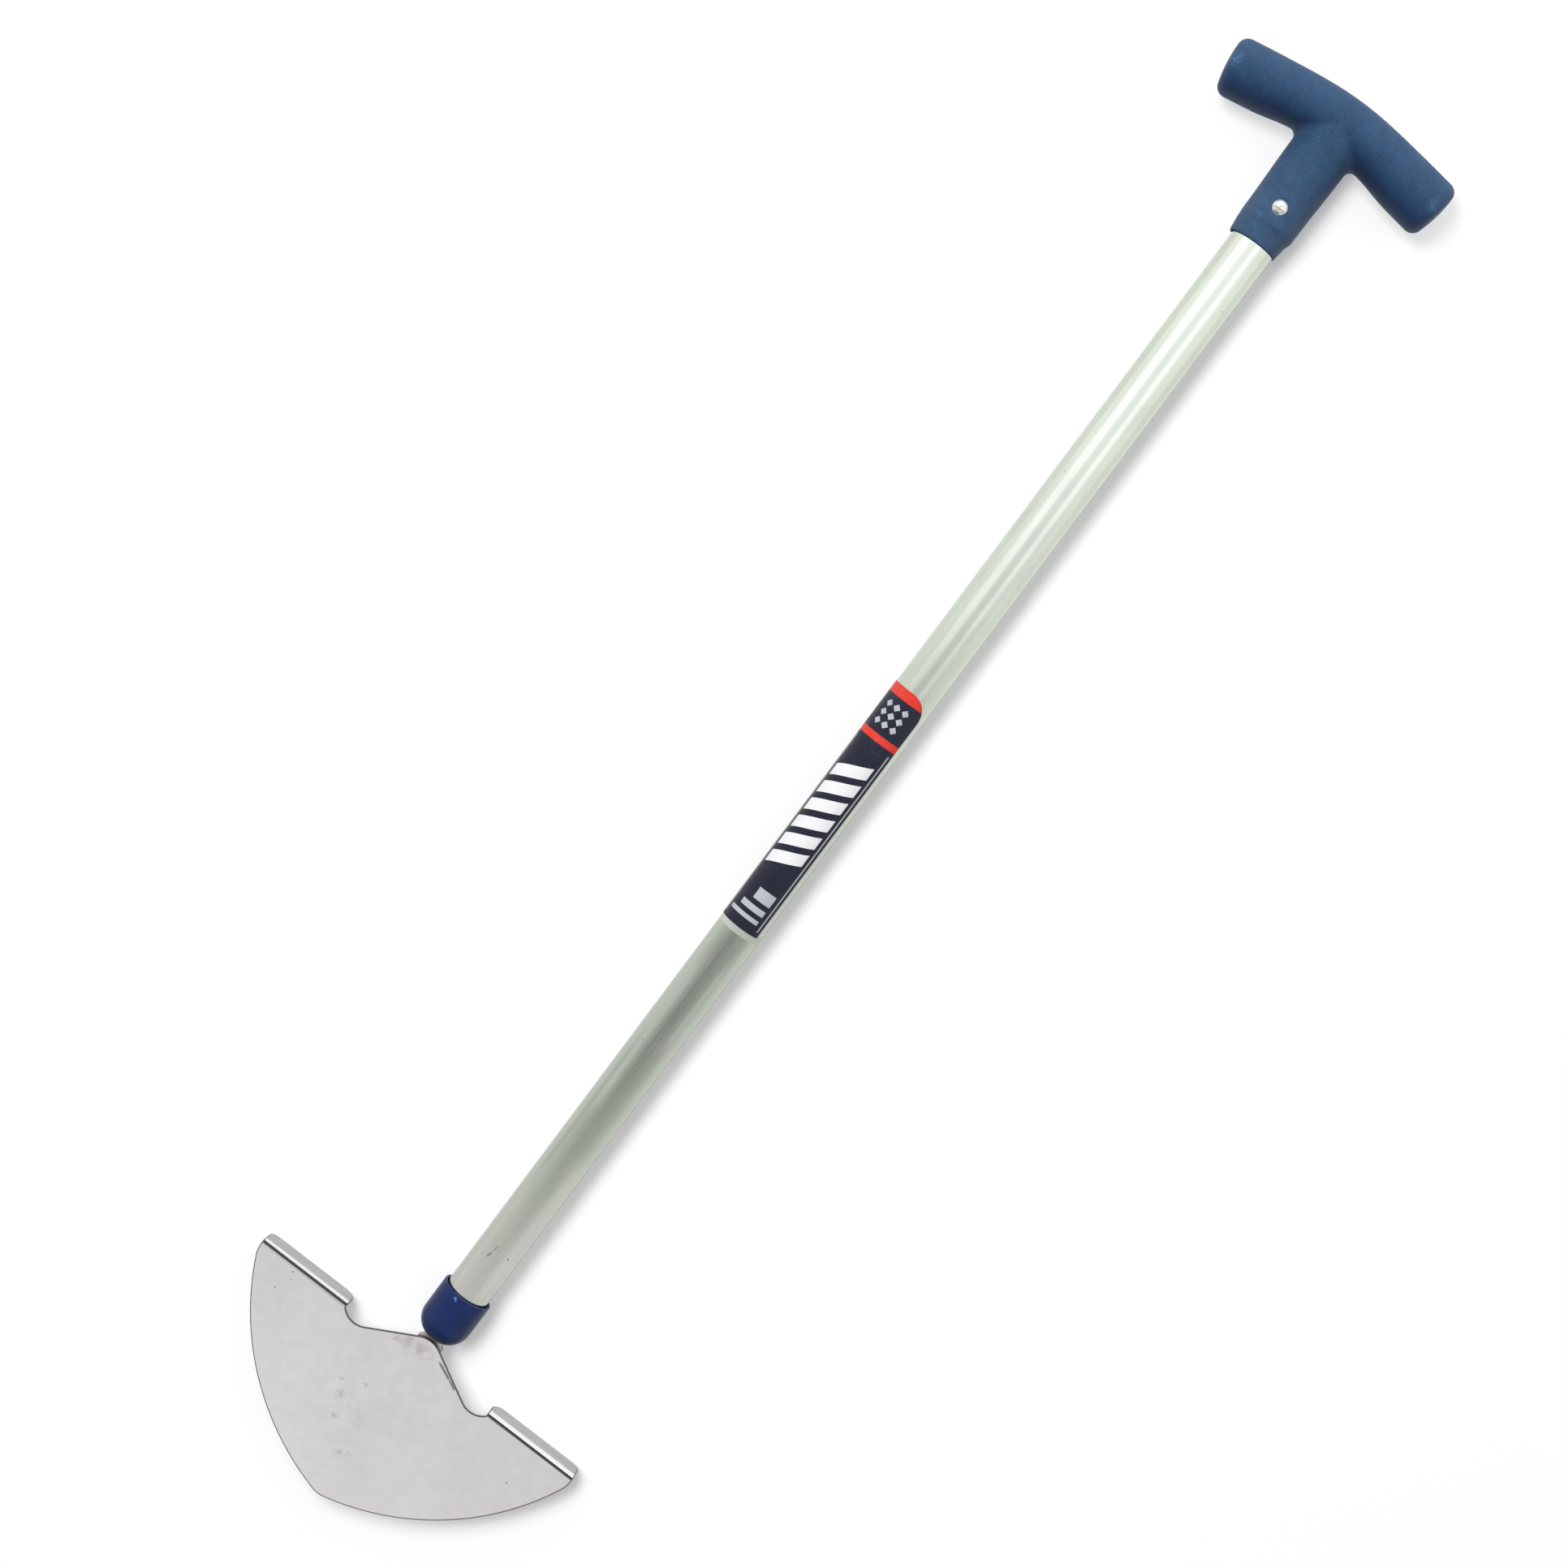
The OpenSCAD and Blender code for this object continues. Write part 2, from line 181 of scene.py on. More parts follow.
class Nodes:
    """Short ways to add and join the nodes of a material or of the room."""

    def __init__(self, owner):
        owner.use_nodes = True
        self.tree = owner.node_tree
        self.tree.nodes.clear()

    def set(self, socket, value):
        """Joins a socket to another one, or gives it a fixed value."""
        if isinstance(value, bpy.types.NodeSocket):
            self.tree.links.new(value, socket)
        elif socket.type == "RGBA":
            socket.default_value = (*value, 1)
        else:
            socket.default_value = value

    def node(self, kind, inputs=(), **attributes):
        """A new node with these attributes and inputs."""
        made = self.tree.nodes.new(kind)
        for key, value in attributes.items():
            setattr(made, key, value)
        for key, value in dict(inputs).items():
            self.set(made.inputs[key], value)
        return made

    def math(self, operation, first, second=0.0):
        """One operation on one or two values."""
        return self.node("ShaderNodeMath", {0: first, 1: second}, operation=operation).outputs[0]

    def times(self, total, *others):
        """Product of several values."""
        for other in others:
            total = self.math("MULTIPLY", total, other)
        return total

    def plus(self, total, *others):
        """Sum of several values."""
        for other in others:
            total = self.math("ADD", total, other)
        return total

    def most(self, total, *others):
        """The largest of several values."""
        for other in others:
            total = self.math("MAXIMUM", total, other)
        return total

    def split(self, vector):
        """The three parts of a vector."""
        return self.node("ShaderNodeSeparateXYZ", {0: vector}).outputs

    def step(self, value, low, high, start=0.0, end=1.0):
        """Soft change from one value to another."""
        return self.node("ShaderNodeMapRange", {0: value, 1: low, 2: high, 3: start, 4: end},
                         interpolation_type="SMOOTHSTEP").outputs[0]

    def fall(self, value, low, high):
        """Soft change from 1 to 0."""
        return self.step(value, low, high, 1.0, 0.0)

    def window(self, value, rising, falling):
        """1 between two soft edges and 0 outside them."""
        return self.times(self.step(value, *rising), self.fall(value, *falling))


class Finish(Nodes):
    """One material. Its marks are placed in millimetres from the point of the blade."""

    # Most of a noise lies between these two values
    noise_span = (0.3, 0.7)

    def __init__(self, name, **values):
        self.material = bpy.data.materials.new(name)
        super().__init__(self.material)
        self.shader = self.node("ShaderNodeBsdfPrincipled")
        self.node("ShaderNodeOutputMaterial", {"Surface": self.shader.outputs[0]})
        self.place = self.node("ShaderNodeTexCoord").outputs["Object"]
        self.to_shader(**values)

    def to_shader(self, **values):
        """Sets inputs of the shader, named with _ for a space."""
        for socket, value in values.items():
            self.set(self.shader.inputs[socket.replace("_", " ")], value)

    def attribute(self, name):
        """What the points of the mesh carry under a name."""
        return self.node("ShaderNodeAttribute", attribute_name=name).outputs

    def vector_math(self, operation, first, second):
        """One operation on two vectors."""
        made = self.node("ShaderNodeVectorMath", {0: first, 1: second}, operation=operation)
        return made.outputs["Value" if operation == "DISTANCE" else "Vector"]

    def noise(self, scale, detail=2.0, rough=0.5, at=None, twist=0.0):
        """Soft noise between 0 and 1."""
        made = self.node("ShaderNodeTexNoise", {"Vector": at or self.place, "Scale": scale, "Detail": detail,
                                                "Roughness": rough, "Distortion": twist})
        return made.outputs["Fac"]

    def streaks(self, scales, detail, rough):
        """Noise with a scale of its own along each axis."""
        return self.noise(1, detail, rough, self.vector_math("MULTIPLY", self.place, scales))

    def grains(self, scale):
        """Distance to the nearest of many scattered points."""
        return self.node("ShaderNodeTexVoronoi", {"Vector": self.place, "Scale": scale}).outputs["Distance"]

    def sheen(self, noise, low, high):
        """Roughness that follows a noise."""
        return self.step(noise, *self.noise_span, low, high)

    def mix(self, share, first, second):
        """The second colour over the first, by a share."""
        return self.node("ShaderNodeMix", {0: share, 6: first, 7: second}, data_type="RGBA").outputs[2]

    def paint(self, share, shade):
        """Lays a colour over the tint so far, by a share."""
        self.tint = self.mix(share, self.tint, shade)

    def warped(self, scale, amount):
        """Object coordinates pushed about by noise, by an amount in millimetres."""
        made = self.node("ShaderNodeTexNoise", {"Vector": self.place, "Scale": scale, "Detail": 3.0})
        push = self.vector_math("SUBTRACT", made.outputs["Color"], (0.5, 0.5, 0.5))
        return self.vector_math("ADD", self.place, self.vector_math("MULTIPLY", push, (amount * MM,) * 3))

    def spot(self, centre, radius, soft=0.6, at=None):
        """1 at a place and 0 away from it."""
        far = self.vector_math("DISTANCE", at or self.place, from_point(centre))
        return self.fall(far, radius * MM * (1 - soft), radius * MM)

    def spots(self, marks, soft=0.6, at=None):
        """1 at any of several places, each written with its radius as the last number."""
        return self.most(*[self.spot(centre, radius, soft, at) for *centre, radius in marks])

    def stroke(self, centre, turn, half_length, half_width):
        """1 on a short line on the XY plane and 0 away from it, its turn in degrees."""
        near = self.node("ShaderNodeMapping", vector_type="TEXTURE", inputs={
            "Vector": self.place, "Location": from_point(centre), "Rotation": (0, 0, math.radians(turn))})
        along, aside, _ = self.split(near.outputs[0])
        return self.times(self.fall(self.math("ABSOLUTE", along), half_length * MM * 0.5, half_length * MM),
                          self.fall(self.math("ABSOLUTE", aside), 0.0, half_width * MM))

    def bump(self, height, distance, strength=1.0, below=None):
        """Normal of a surface whose height changes by a distance in millimetres."""
        inputs = {"Strength": strength, "Distance": distance * MM, "Height": height}
        if below is not None:
            inputs["Normal"] = below
        return self.node("ShaderNodeBump", inputs).outputs[0]


def arc(middle, radius, start, end, steps):
    """Points of an arc, both ends included, angles in degrees."""
    angles = np.radians(np.linspace(start, end, steps + 1))
    return [(middle[0] + radius * math.cos(a), middle[1] + radius * math.sin(a)) for a in angles]


def grid_faces(rows, columns):
    """Quads of a grid of points, row by row."""
    return [(i * columns + k, (i + 1) * columns + k, (i + 1) * columns + k + 1, i * columns + k + 1)
            for i in range(rows - 1) for k in range(columns - 1)]


def ring_faces(rings, count):
    """Quads between closed rings of points, ring by ring."""
    return [(low + k, low + (k + 1) % count, low + count + (k + 1) % count, low + count + k)
            for low in range(0, (rings - 1) * count, count) for k in range(count)]


def mesh_object(name, points, faces, smooth=True, sharp=None):
    """A new object with this mesh, its normals turned outwards."""
    mesh = bpy.data.meshes.new(name)
    mesh.from_pydata([tuple(point) for point in points], [], [tuple(face) for face in faces])
    work = bmesh.new()
    work.from_mesh(mesh)
    bmesh.ops.recalc_face_normals(work, faces=work.faces)
    work.to_mesh(mesh)
    work.free()
    for face in mesh.polygons:
        face.use_smooth = smooth
    if sharp is not None:
        mesh.set_sharp_from_angle(angle=math.radians(sharp))
    mesh.update()
    made = bpy.data.objects.new(name, mesh)
    bpy.context.scene.collection.objects.link(made)
    return made


def dress(piece, node, finish):
    """Puts a piece on the frame in place of a node, with its finish."""
    piece.data.materials.append(finish.material)
    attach(piece, "root")
    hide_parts(node)


def coat(node, finish):
    """Gives a carried-over node its finish."""
    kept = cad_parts[node]
    kept.data.materials.clear()
    kept.data.materials.append(finish.material)


def lathe(profile, steps, middle, direction="X", closed=True):
    """Points and faces of a profile of (along, radius) turned round an axis through a place."""
    points, rings = [], []
    for along, radius in profile:
        ring = []
        for i in range(steps if radius > TINY else 1):
            a = 2 * math.pi * i / steps
            b, c = radius * math.cos(a), radius * math.sin(a)
            ring.append(len(points))
            points.append((middle[0] + along, middle[1] + b, middle[2] + c) if direction == "X"
                          else (middle[0] + b, middle[1] + c, middle[2] + along))
        rings.append(ring)
    faces = []
    pairs = list(zip(rings, rings[1:])) + ([(rings[-1], rings[0])] if closed else [])
    for first, second in pairs:
        for i in range(steps):
            j = (i + 1) % steps
            face = [ring[n % len(ring)] for ring, n in ((first, i), (first, j), (second, j), (second, i))]
            face = list(dict.fromkeys(face))
            if len(face) > 2:
                faces.append(face)
    return points, faces


class EDGER_OT_blade(bpy.types.Operator):
    """Builds the pressed blade with its folded treads"""
    bl_idname = "edger.blade"
    bl_label = "Blade"

    fold_rows = 10
    edge_lean = 14.5
    shoulder_angle = 29.0
    shade_width = 0.55 * MM
    # Marks in millimetres: place along, across and up, and radius
    stains = ((53.4, 22.3, FACE, 4.2), (41.3, 18.5, FACE, 3.4), (25.8, 4.4, FACE, 4.0),
              (29.0, -1.2, FACE, 2.6), (66.8, 13.9, FACE, 2.2), (60.5, 27.0, FACE, 2.0))
    specks = ((92.3, 83.8, FACE, 0.7), (79.1, 86.7, FACE, 0.6), (71.2, -79.8, FACE, 0.7),
              (96.8, 90.7, 2.2, 0.9), (96.8, -93.5, 5.3, 0.8), (88.5, 82.0, FACE, 0.5))
    burns = ((101.2, 9.6, FACE, 6.0), (102.2, 1.5, FACE, 6.5),
             (100.8, -3.5, FACE, 5.0), (98.5, 15.5, FACE, 4.0))

    def half_pattern(self, s):
        """Flat pattern of one half from the point to the shoulders, as (length, across, fold row)."""
        fold = s.tread - s.fold_r - s.sheet
        half_w = BLADE_HIGH.y
        top = BLADE_HIGH.x - BLADE_LOW.x
        lean, slope = math.radians(self.edge_lean), math.radians(self.shoulder_angle)
        tip_y = half_w - s.tip_r
        gap = fold - s.point_r
        reach = ((gap ** 2 + tip_y ** 2 - (s.point_r - s.tip_r) ** 2)
                 / 2 / (s.point_r - s.tip_r + gap * math.cos(lean) - tip_y * math.sin(lean)))
        edge_mid = (s.point_r + reach * math.cos(lean), -reach * math.sin(lean))
        tip_turn = math.degrees(math.atan2(tip_y - edge_mid[1], edge_mid[0] - fold))
        notch_mid = s.tread - s.notch + s.notch_r
        peak = top + s.shoulder_r * (1 / math.cos(slope) - 1)
        notch_y = (s.notch_r / math.cos(slope) + peak - notch_mid) / math.tan(slope)
        notch_turn = math.degrees(math.acos((notch_mid - fold) / s.notch_r))
        tread_y = notch_y + s.notch_r * math.sin(math.radians(notch_turn))
        bend_r = s.fold_r + s.sheet
        bend = bend_r * math.pi / 2
        foot = fold + bend + BLADE_HIGH.z - BLADE_LOW.z - bend_r
        rows = [bend * k / self.fold_rows for k in range(1, self.fold_rows + 1)]

        edge = (arc((s.point_r, 0), s.point_r, 180, 180 - self.edge_lean, 5)
                + arc(edge_mid, reach + s.point_r, 180 - self.edge_lean, 180 - tip_turn, 36)[1:]
                + arc((fold, tip_y), s.tip_r, 180 - tip_turn, 90, 14)[1:])
        ends = (arc((foot - s.outer_r, half_w - s.outer_r), s.outer_r, 90, 0, 6)
                + arc((foot - s.inner_r, tread_y + s.inner_r), s.inner_r, 0, -90, 8))
        notch = (arc((notch_mid, notch_y), s.notch_r, 180 - notch_turn, 180 + self.shoulder_angle, 16)
                 + arc((top - s.shoulder_r, 0), s.shoulder_r, self.shoulder_angle, 0, 7))
        pattern = [(x, y, 0) for x, y in edge]
        pattern += [(fold + run, half_w, k + 1) for k, run in enumerate(rows)]
        pattern += [(x, y, -1) for x, y in ends]
        pattern += [(fold + run, tread_y, k + 1) for k, run in reversed(list(enumerate(rows)))]
        pattern += [(x, y, 0) for x, y in notch]
        return pattern, fold, tread_y

    def execute(self, context):
        s = context.scene.edger_blade
        half, fold, tread_y = self.half_pattern(s)
        loop = half + [(x, -y, row) for x, y, row in half[-2:0:-1]]
        flat = np.array([(x, y) for x, y, row in loop])
        count = len(loop)
        ahead, behind = np.roll(flat, -1, 0) - flat, flat - np.roll(flat, 1, 0)
        normals = [np.stack((side[:, 1], -side[:, 0]), 1) / np.linalg.norm(side, axis=1)[:, None]
                   for side in (ahead, behind)]
        outward = normals[0] + normals[1]
        outward /= np.linalg.norm(outward, axis=1)[:, None]
        outward /= np.clip((outward * normals[0]).sum(1), 0.5, 1)[:, None]
        if outward[0, 0] > 0:
            outward = -outward
        x0, top_z = BLADE_LOW.x, BLADE_HIGH.z
        bend_r = s.fold_r + s.sheet
        bend = bend_r * math.pi / 2

        def folded(along, across, depth, row):
            """Place of a point of the flat pattern, at a depth below the polished face."""
            run = along - fold
            if row == 0:
                return x0 + along, across, top_z - depth
            if run <= bend:
                a, radius = run / bend_r, bend_r - depth
                return x0 + fold + radius * math.sin(a), across, top_z - bend_r + radius * math.cos(a)
            return x0 + fold + bend_r - depth, across, top_z - bend_r - (run - bend)

        soft = s.edge_r
        turn = 1 - math.sqrt(0.5)
        shade = soft + self.shade_width
        section = [(shade, 0), (soft, 0), (soft * turn, soft * turn), (0, soft)]
        section += [(inset, s.sheet - depth) for inset, depth in reversed(section)]
        points, rim = [], []
        for inset, depth in section:
            inner = flat - outward * inset
            points += [folded(x, y, depth, row) for (x, y), (_, _, row) in zip(inner, loop)]
            rim += [0.0 if inset == shade else 1.0] * count
        faces = ring_faces(len(section), count)
        rows = self.fold_rows
        outer = [next(i for i in range(count) if loop[i][2] == 1) - 1 + k for k in range(rows + 1)]
        foot = [i for i in range(len(half)) if loop[i][2] == -1]
        inner = [foot[-1] + 1 + rows - k for k in range(rows + 1)]
        for base in (0, (len(section) - 1) * count):
            faces.append([base + i for i in range(count) if loop[i][2] == 0])
            for side in (lambda i: i, lambda i: (count - i) % count):
                for k in range(rows):
                    faces.append([base + side(i) for i in (outer[k], outer[k + 1], inner[k + 1], inner[k])])
                faces.append([base + side(i) for i in [outer[rows]] + foot + [inner[rows]]])
        blade = mesh_object("blade_sheet", points, faces)
        mask = blade.data.attributes.new("cut_edge", "FLOAT", "POINT")
        mask.data.foreach_set("value", rim)
        weighted = blade.modifiers.new("Flat faces", "WEIGHTED_NORMAL")
        weighted.mode = "FACE_AREA"
        weighted.weight = 100
        weighted.keep_sharp = False
        dress(blade, "blade", self.finish(s, fold, tread_y))
        return {"FINISHED"}

    def finish(self, s, fold, tread_y):
        """Polished stainless sheet with blotches, stains and a heat tint, painted shade at a dent by the
        shoulder, painted reflections at the folds, duller tread faces darkened partly as painted shade, and
        cut edges darkened as painted shade.
        """
        f = Finish("polished_blade_steel", Metallic=1.0)
        fine = f.noise(160, 3, 0.6)
        loose = f.warped(230, 5.0)
        f.tint = f.mix(f.step(f.noise(22, 3, 0.5, twist=0.6), 0.35, 0.7), s.steel, s.blotch)
        f.paint(f.step(f.noise(17, 2), 0.5, 0.75, 0.0, 0.45), tone(213, 215, 210))

        patchy = f.times(f.spots(self.stains, 0.95, loose), f.step(f.noise(420, 3), 0.3, 0.6))
        haze = f.times(f.spot((46, 16, FACE), 26, 0.95, loose), f.step(f.noise(70, 3), 0.48, 0.72, 0.0, 0.3))
        f.paint(f.most(f.times(patchy, 0.42), haze), s.stain)
        f.paint(f.times(f.spots(self.specks), 0.75), tone(84, 78, 74))
        burnt = f.times(f.spots(self.burns, 0.9, loose), f.step(f.noise(150, 3, 0.6), 0.36, 0.6))
        f.paint(f.times(burnt, 0.85), s.heat)
        # Painted shade: dark strokes by the right shoulder stand in for a shallow dent's shading; the sheet
        # itself stays flat here
        painted_crease_shade = f.most(f.stroke((99.9, -15.9, FACE), 65.7, 7.4, 1.15),
                        f.stroke((96.3, -23.7, FACE), 61.5, 4.0, 1.0))
        f.paint(f.times(painted_crease_shade, 0.92), tone(88, 87, 80))

        # Painted reflection at each fold: a dark line where the bend mirrors a dark room, a painted highlight
        # above it, and darker tread faces, partly painted shade
        along, across, up = f.split(f.place)
        flank = f.step(f.math("ABSOLUTE", across), tread_y - 0.4 * MM, tread_y + 0.4 * MM)
        run = f.times(f.math("SUBTRACT", along, BLADE_LOW.x + fold), 1 / MM)
        run = f.plus(run, f.step(across, -1 * MM, 1 * MM, 0.3, -0.05))
        f.paint(f.times(f.window(run, (0.5, 0.9), (1.9, 2.25)), flank), tone(62, 60, 58))
        f.paint(f.times(f.step(run, 2.1, 2.35), flank), tone(252, 251, 249))
        # Painted shade: the tread faces are darkened to stand in for the shaded floor they mirror; their
        # roughness is raised as well
        face = f.times(f.fall(up, BLADE_HIGH.z - 5.6 * MM, BLADE_HIGH.z - 3.5 * MM), flank)
        rubbed = f.step(f.streaks((300, 40, 300), 3, 0.6), 0.35, 0.7)
        f.paint(face, f.mix(rubbed, s.tread_face_shaded, tone(176, 174, 172)))
        # Painted shade: the cut edges and a thin band inside them are darkened to stand in for their dark
        # reflection
        f.paint(f.step(f.attribute("cut_edge")["Fac"], 0.1, 0.7, 0.0, 0.95), s.rim)

        rough = f.plus(f.sheen(fine, 0.18, 0.23), f.times(patchy, 0.12), f.times(face, 0.12))
        wave = f.bump(f.noise(30, 2), 0.03, 0.4)
        f.to_shader(Base_Color=f.tint, Roughness=rough, Normal=f.bump(fine, 0.004, 0.4, wave))
        return f


class EDGER_OT_neck(bpy.types.Operator):
    """Finishes the tang and its hidden bush and pin, and builds the weld beads"""
    bl_idname = "edger.neck"
    bl_label = "Neck and welds"

    ripples = 11
    steps = 88
    sides = 10
    trough_share, end_share, lag_share = 0.86, 0.12, 0.4
    worn_edge = 0.35 * MM

    def bead(self, side):
        """A rippled weld bead along one edge of the half lap."""
        leg = WELD_HIGH.z - WELD_LOW.z
        wall = WELD_HIGH.y - leg
        run = WELD_HIGH.x - WELD_LOW.x
        points = []
        for i in range(self.steps + 1):
            share = i / self.steps
            ripple = abs(math.sin(math.pi * self.ripples * share))
            ends = max(self.end_share, math.sqrt(1 - (2 * share - 1) ** 6))
            size = leg * (self.trough_share + (1 - self.trough_share) * ripple) * ends
            x = WELD_LOW.x + run * share
            points.append((x, side * wall, WELD_HIGH.z))
            for k in range(self.sides + 1):
                a = math.pi / 2 * k / self.sides
                lag = self.lag_share * leg * math.sin(2 * a) * share * (1 - share)
                points.append((x - lag, side * (wall + size * math.cos(a)), WELD_HIGH.z - size * math.sin(a)))
        ring = self.sides + 2
        last = self.steps * ring
        ends = [tuple(range(ring)), tuple(range(last, last + ring))]
        return points, ring_faces(self.steps + 1, ring) + ends

    def execute(self, context):
        s = context.scene.edger_shaft
        left, left_faces = self.bead(1)
        right, right_faces = self.bead(-1)
        right_faces = [tuple(i + len(left) for i in face) for face in right_faces]
        beads = mesh_object("weld_beads", left + right, left_faces + right_faces, sharp=50)
        f = Finish("weld_bead_metal", Metallic=1.0)
        scale = f.noise(420, 4, 0.6)
        f.to_shader(Base_Color=f.mix(f.step(scale, 0.35, 0.65), s.bead, tone(92, 84, 92)),
                    Roughness=f.sheen(f.noise(900, 2), 0.32, 0.55), Normal=f.bump(scale, 0.08, 0.6))
        dress(beads, "tang_welds", f)

        f = Finish("forged_tang_steel", Metallic=1.0)
        grain = f.streaks((12, 60, 60), 4, 0.6)
        _, across, up = f.split(f.place)
        f.tint = f.mix(f.step(grain, 0.35, 0.7), s.neck, tone(168, 164, 160))
        # Darker and olive toward the bottom of the tang, most in its middle
        under = f.times(f.step(up, AXIS_Z + 0.5 * MM, AXIS_Z + 2.5 * MM, 0.75, 0.0),
                        f.step(f.math("ABSOLUTE", across), 2.5 * MM, 6.0 * MM, 1.0, 0.2))
        f.paint(under, tone(104, 102, 86))
        heat = f.spot((112.0, -0.5, 15.7), 5.0, 0.7)
        f.paint(f.times(heat, 0.8), tone(96, 88, 80))
        f.to_shader(Base_Color=f.tint,
                    Roughness=f.sheen(grain, 0.26, 0.42), Normal=f.bump(f.noise(300, 3), 0.04, 0.5))
        coat("tang", f)
        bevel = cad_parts["tang"].modifiers.new("Worn edges", "BEVEL")
        bevel.width = self.worn_edge
        bevel.segments = 2
        bevel.limit_method = "ANGLE"
        bevel.angle_limit = math.radians(50)

        f = Finish("bush_plastic_grey")
        grain = f.noise(260, 3)
        f.to_shader(Base_Color=f.mix(grain, s.bush, tone(70, 72, 76)), Roughness=f.sheen(grain, 0.45, 0.6),
                    Normal=f.bump(grain, 0.03, 0.4))
        coat("tang_bush", f)

        f = Finish("pin_steel_plain", Metallic=1.0)
        grain = f.noise(500, 2)
        f.to_shader(Base_Color=f.mix(grain, tone(190, 190, 190), tone(160, 158, 154)),
                    Roughness=f.sheen(grain, 0.25, 0.4), Normal=f.bump(grain, 0.02, 0.4))
        coat("tang_pin", f)
        return {"FINISHED"}


class EDGER_OT_collar(bpy.types.Operator):
    """Builds the moulded collar"""
    bl_idname = "edger.collar"
    bl_label = "Collar"

    # Height of the cup if its dome had no bore, then the gap round the tang and two roundings
    full_h = 31.7 * MM
    bore_gap, rim_soft, floor_soft = 0.1 * MM, 0.35 * MM, 0.5 * MM
    gate_place = (130.05, -2.9, 30.7)

    def execute(self, context):
        s = context.scene.edger_shaft
        radius, rim_x = COLLAR_HIGH.y, COLLAR_HIGH.x
        inner = radius - s.collar_wall
        bore = s.tang_d / 2 + self.bore_gap
        dome, soft, low = s.dome_r, self.rim_soft, -self.full_h
        lead = math.degrees(math.acos((bore - radius + dome) / dome))
        floor_turn = dome - 0.4 * s.collar_wall
        floor = low + dome - math.sqrt(dome ** 2 - floor_turn ** 2)
        outside = arc((low + dome, radius - dome), dome, 90 + lead, 90, 17)
        rim = arc((-soft, radius - soft), soft, 90, 0, 3) + arc((-soft, inner + soft), soft, 0, -90, 3)
        inside = [(floor + self.floor_soft, inner), (floor, inner - self.floor_soft), (floor, bore)]
        points, faces = lathe(outside + rim + inside, 128, (rim_x, 0, AXIS_Z))
        collar = mesh_object("collar_shell", points, faces, sharp=48)

        f = Finish("collar_plastic_gloss", IOR=1.5, Specular_IOR_Level=0.25)
        mottle = f.noise(90, 3, 0.55)
        f.tint = f.mix(f.step(mottle, 0.3, 0.7), s.collar, tone(21, 42, 92))
        scuffs = f.most(f.spot((141.2, 3.1, 30.7), 1.25, 0.6), f.spot((140.4, 2.2, 30.8), 0.7, 0.7))
        scuffs = f.times(scuffs, f.step(f.noise(700, 2), 0.25, 0.55))
        rim_wear = f.times(f.step(f.split(f.place)[0], rim_x - 0.9 * MM, rim_x),
                           f.step(f.noise(330, 3), 0.5, 0.75, 0.0, 0.3))
        f.paint(f.most(f.times(scuffs, 0.8), rim_wear), s.scuff)
        gate = f.math("SUBTRACT", f.spot(self.gate_place, 1.5, 0.25), f.spot(self.gate_place, 1.1, 0.25))
        f.paint(f.times(gate, 0.4), tone(18, 26, 66))
        rough = f.step(f.plus(mottle, f.times(scuffs, 0.6)), 0.3, 1.0, 0.3, 0.5)
        relief = f.bump(gate, 0.05, 0.6, f.bump(f.noise(900, 2, 0.6), 0.012, 0.5))
        f.to_shader(Base_Color=f.tint, Roughness=rough, Normal=relief)
        dress(collar, "collar", f)
        return {"FINISHED"}


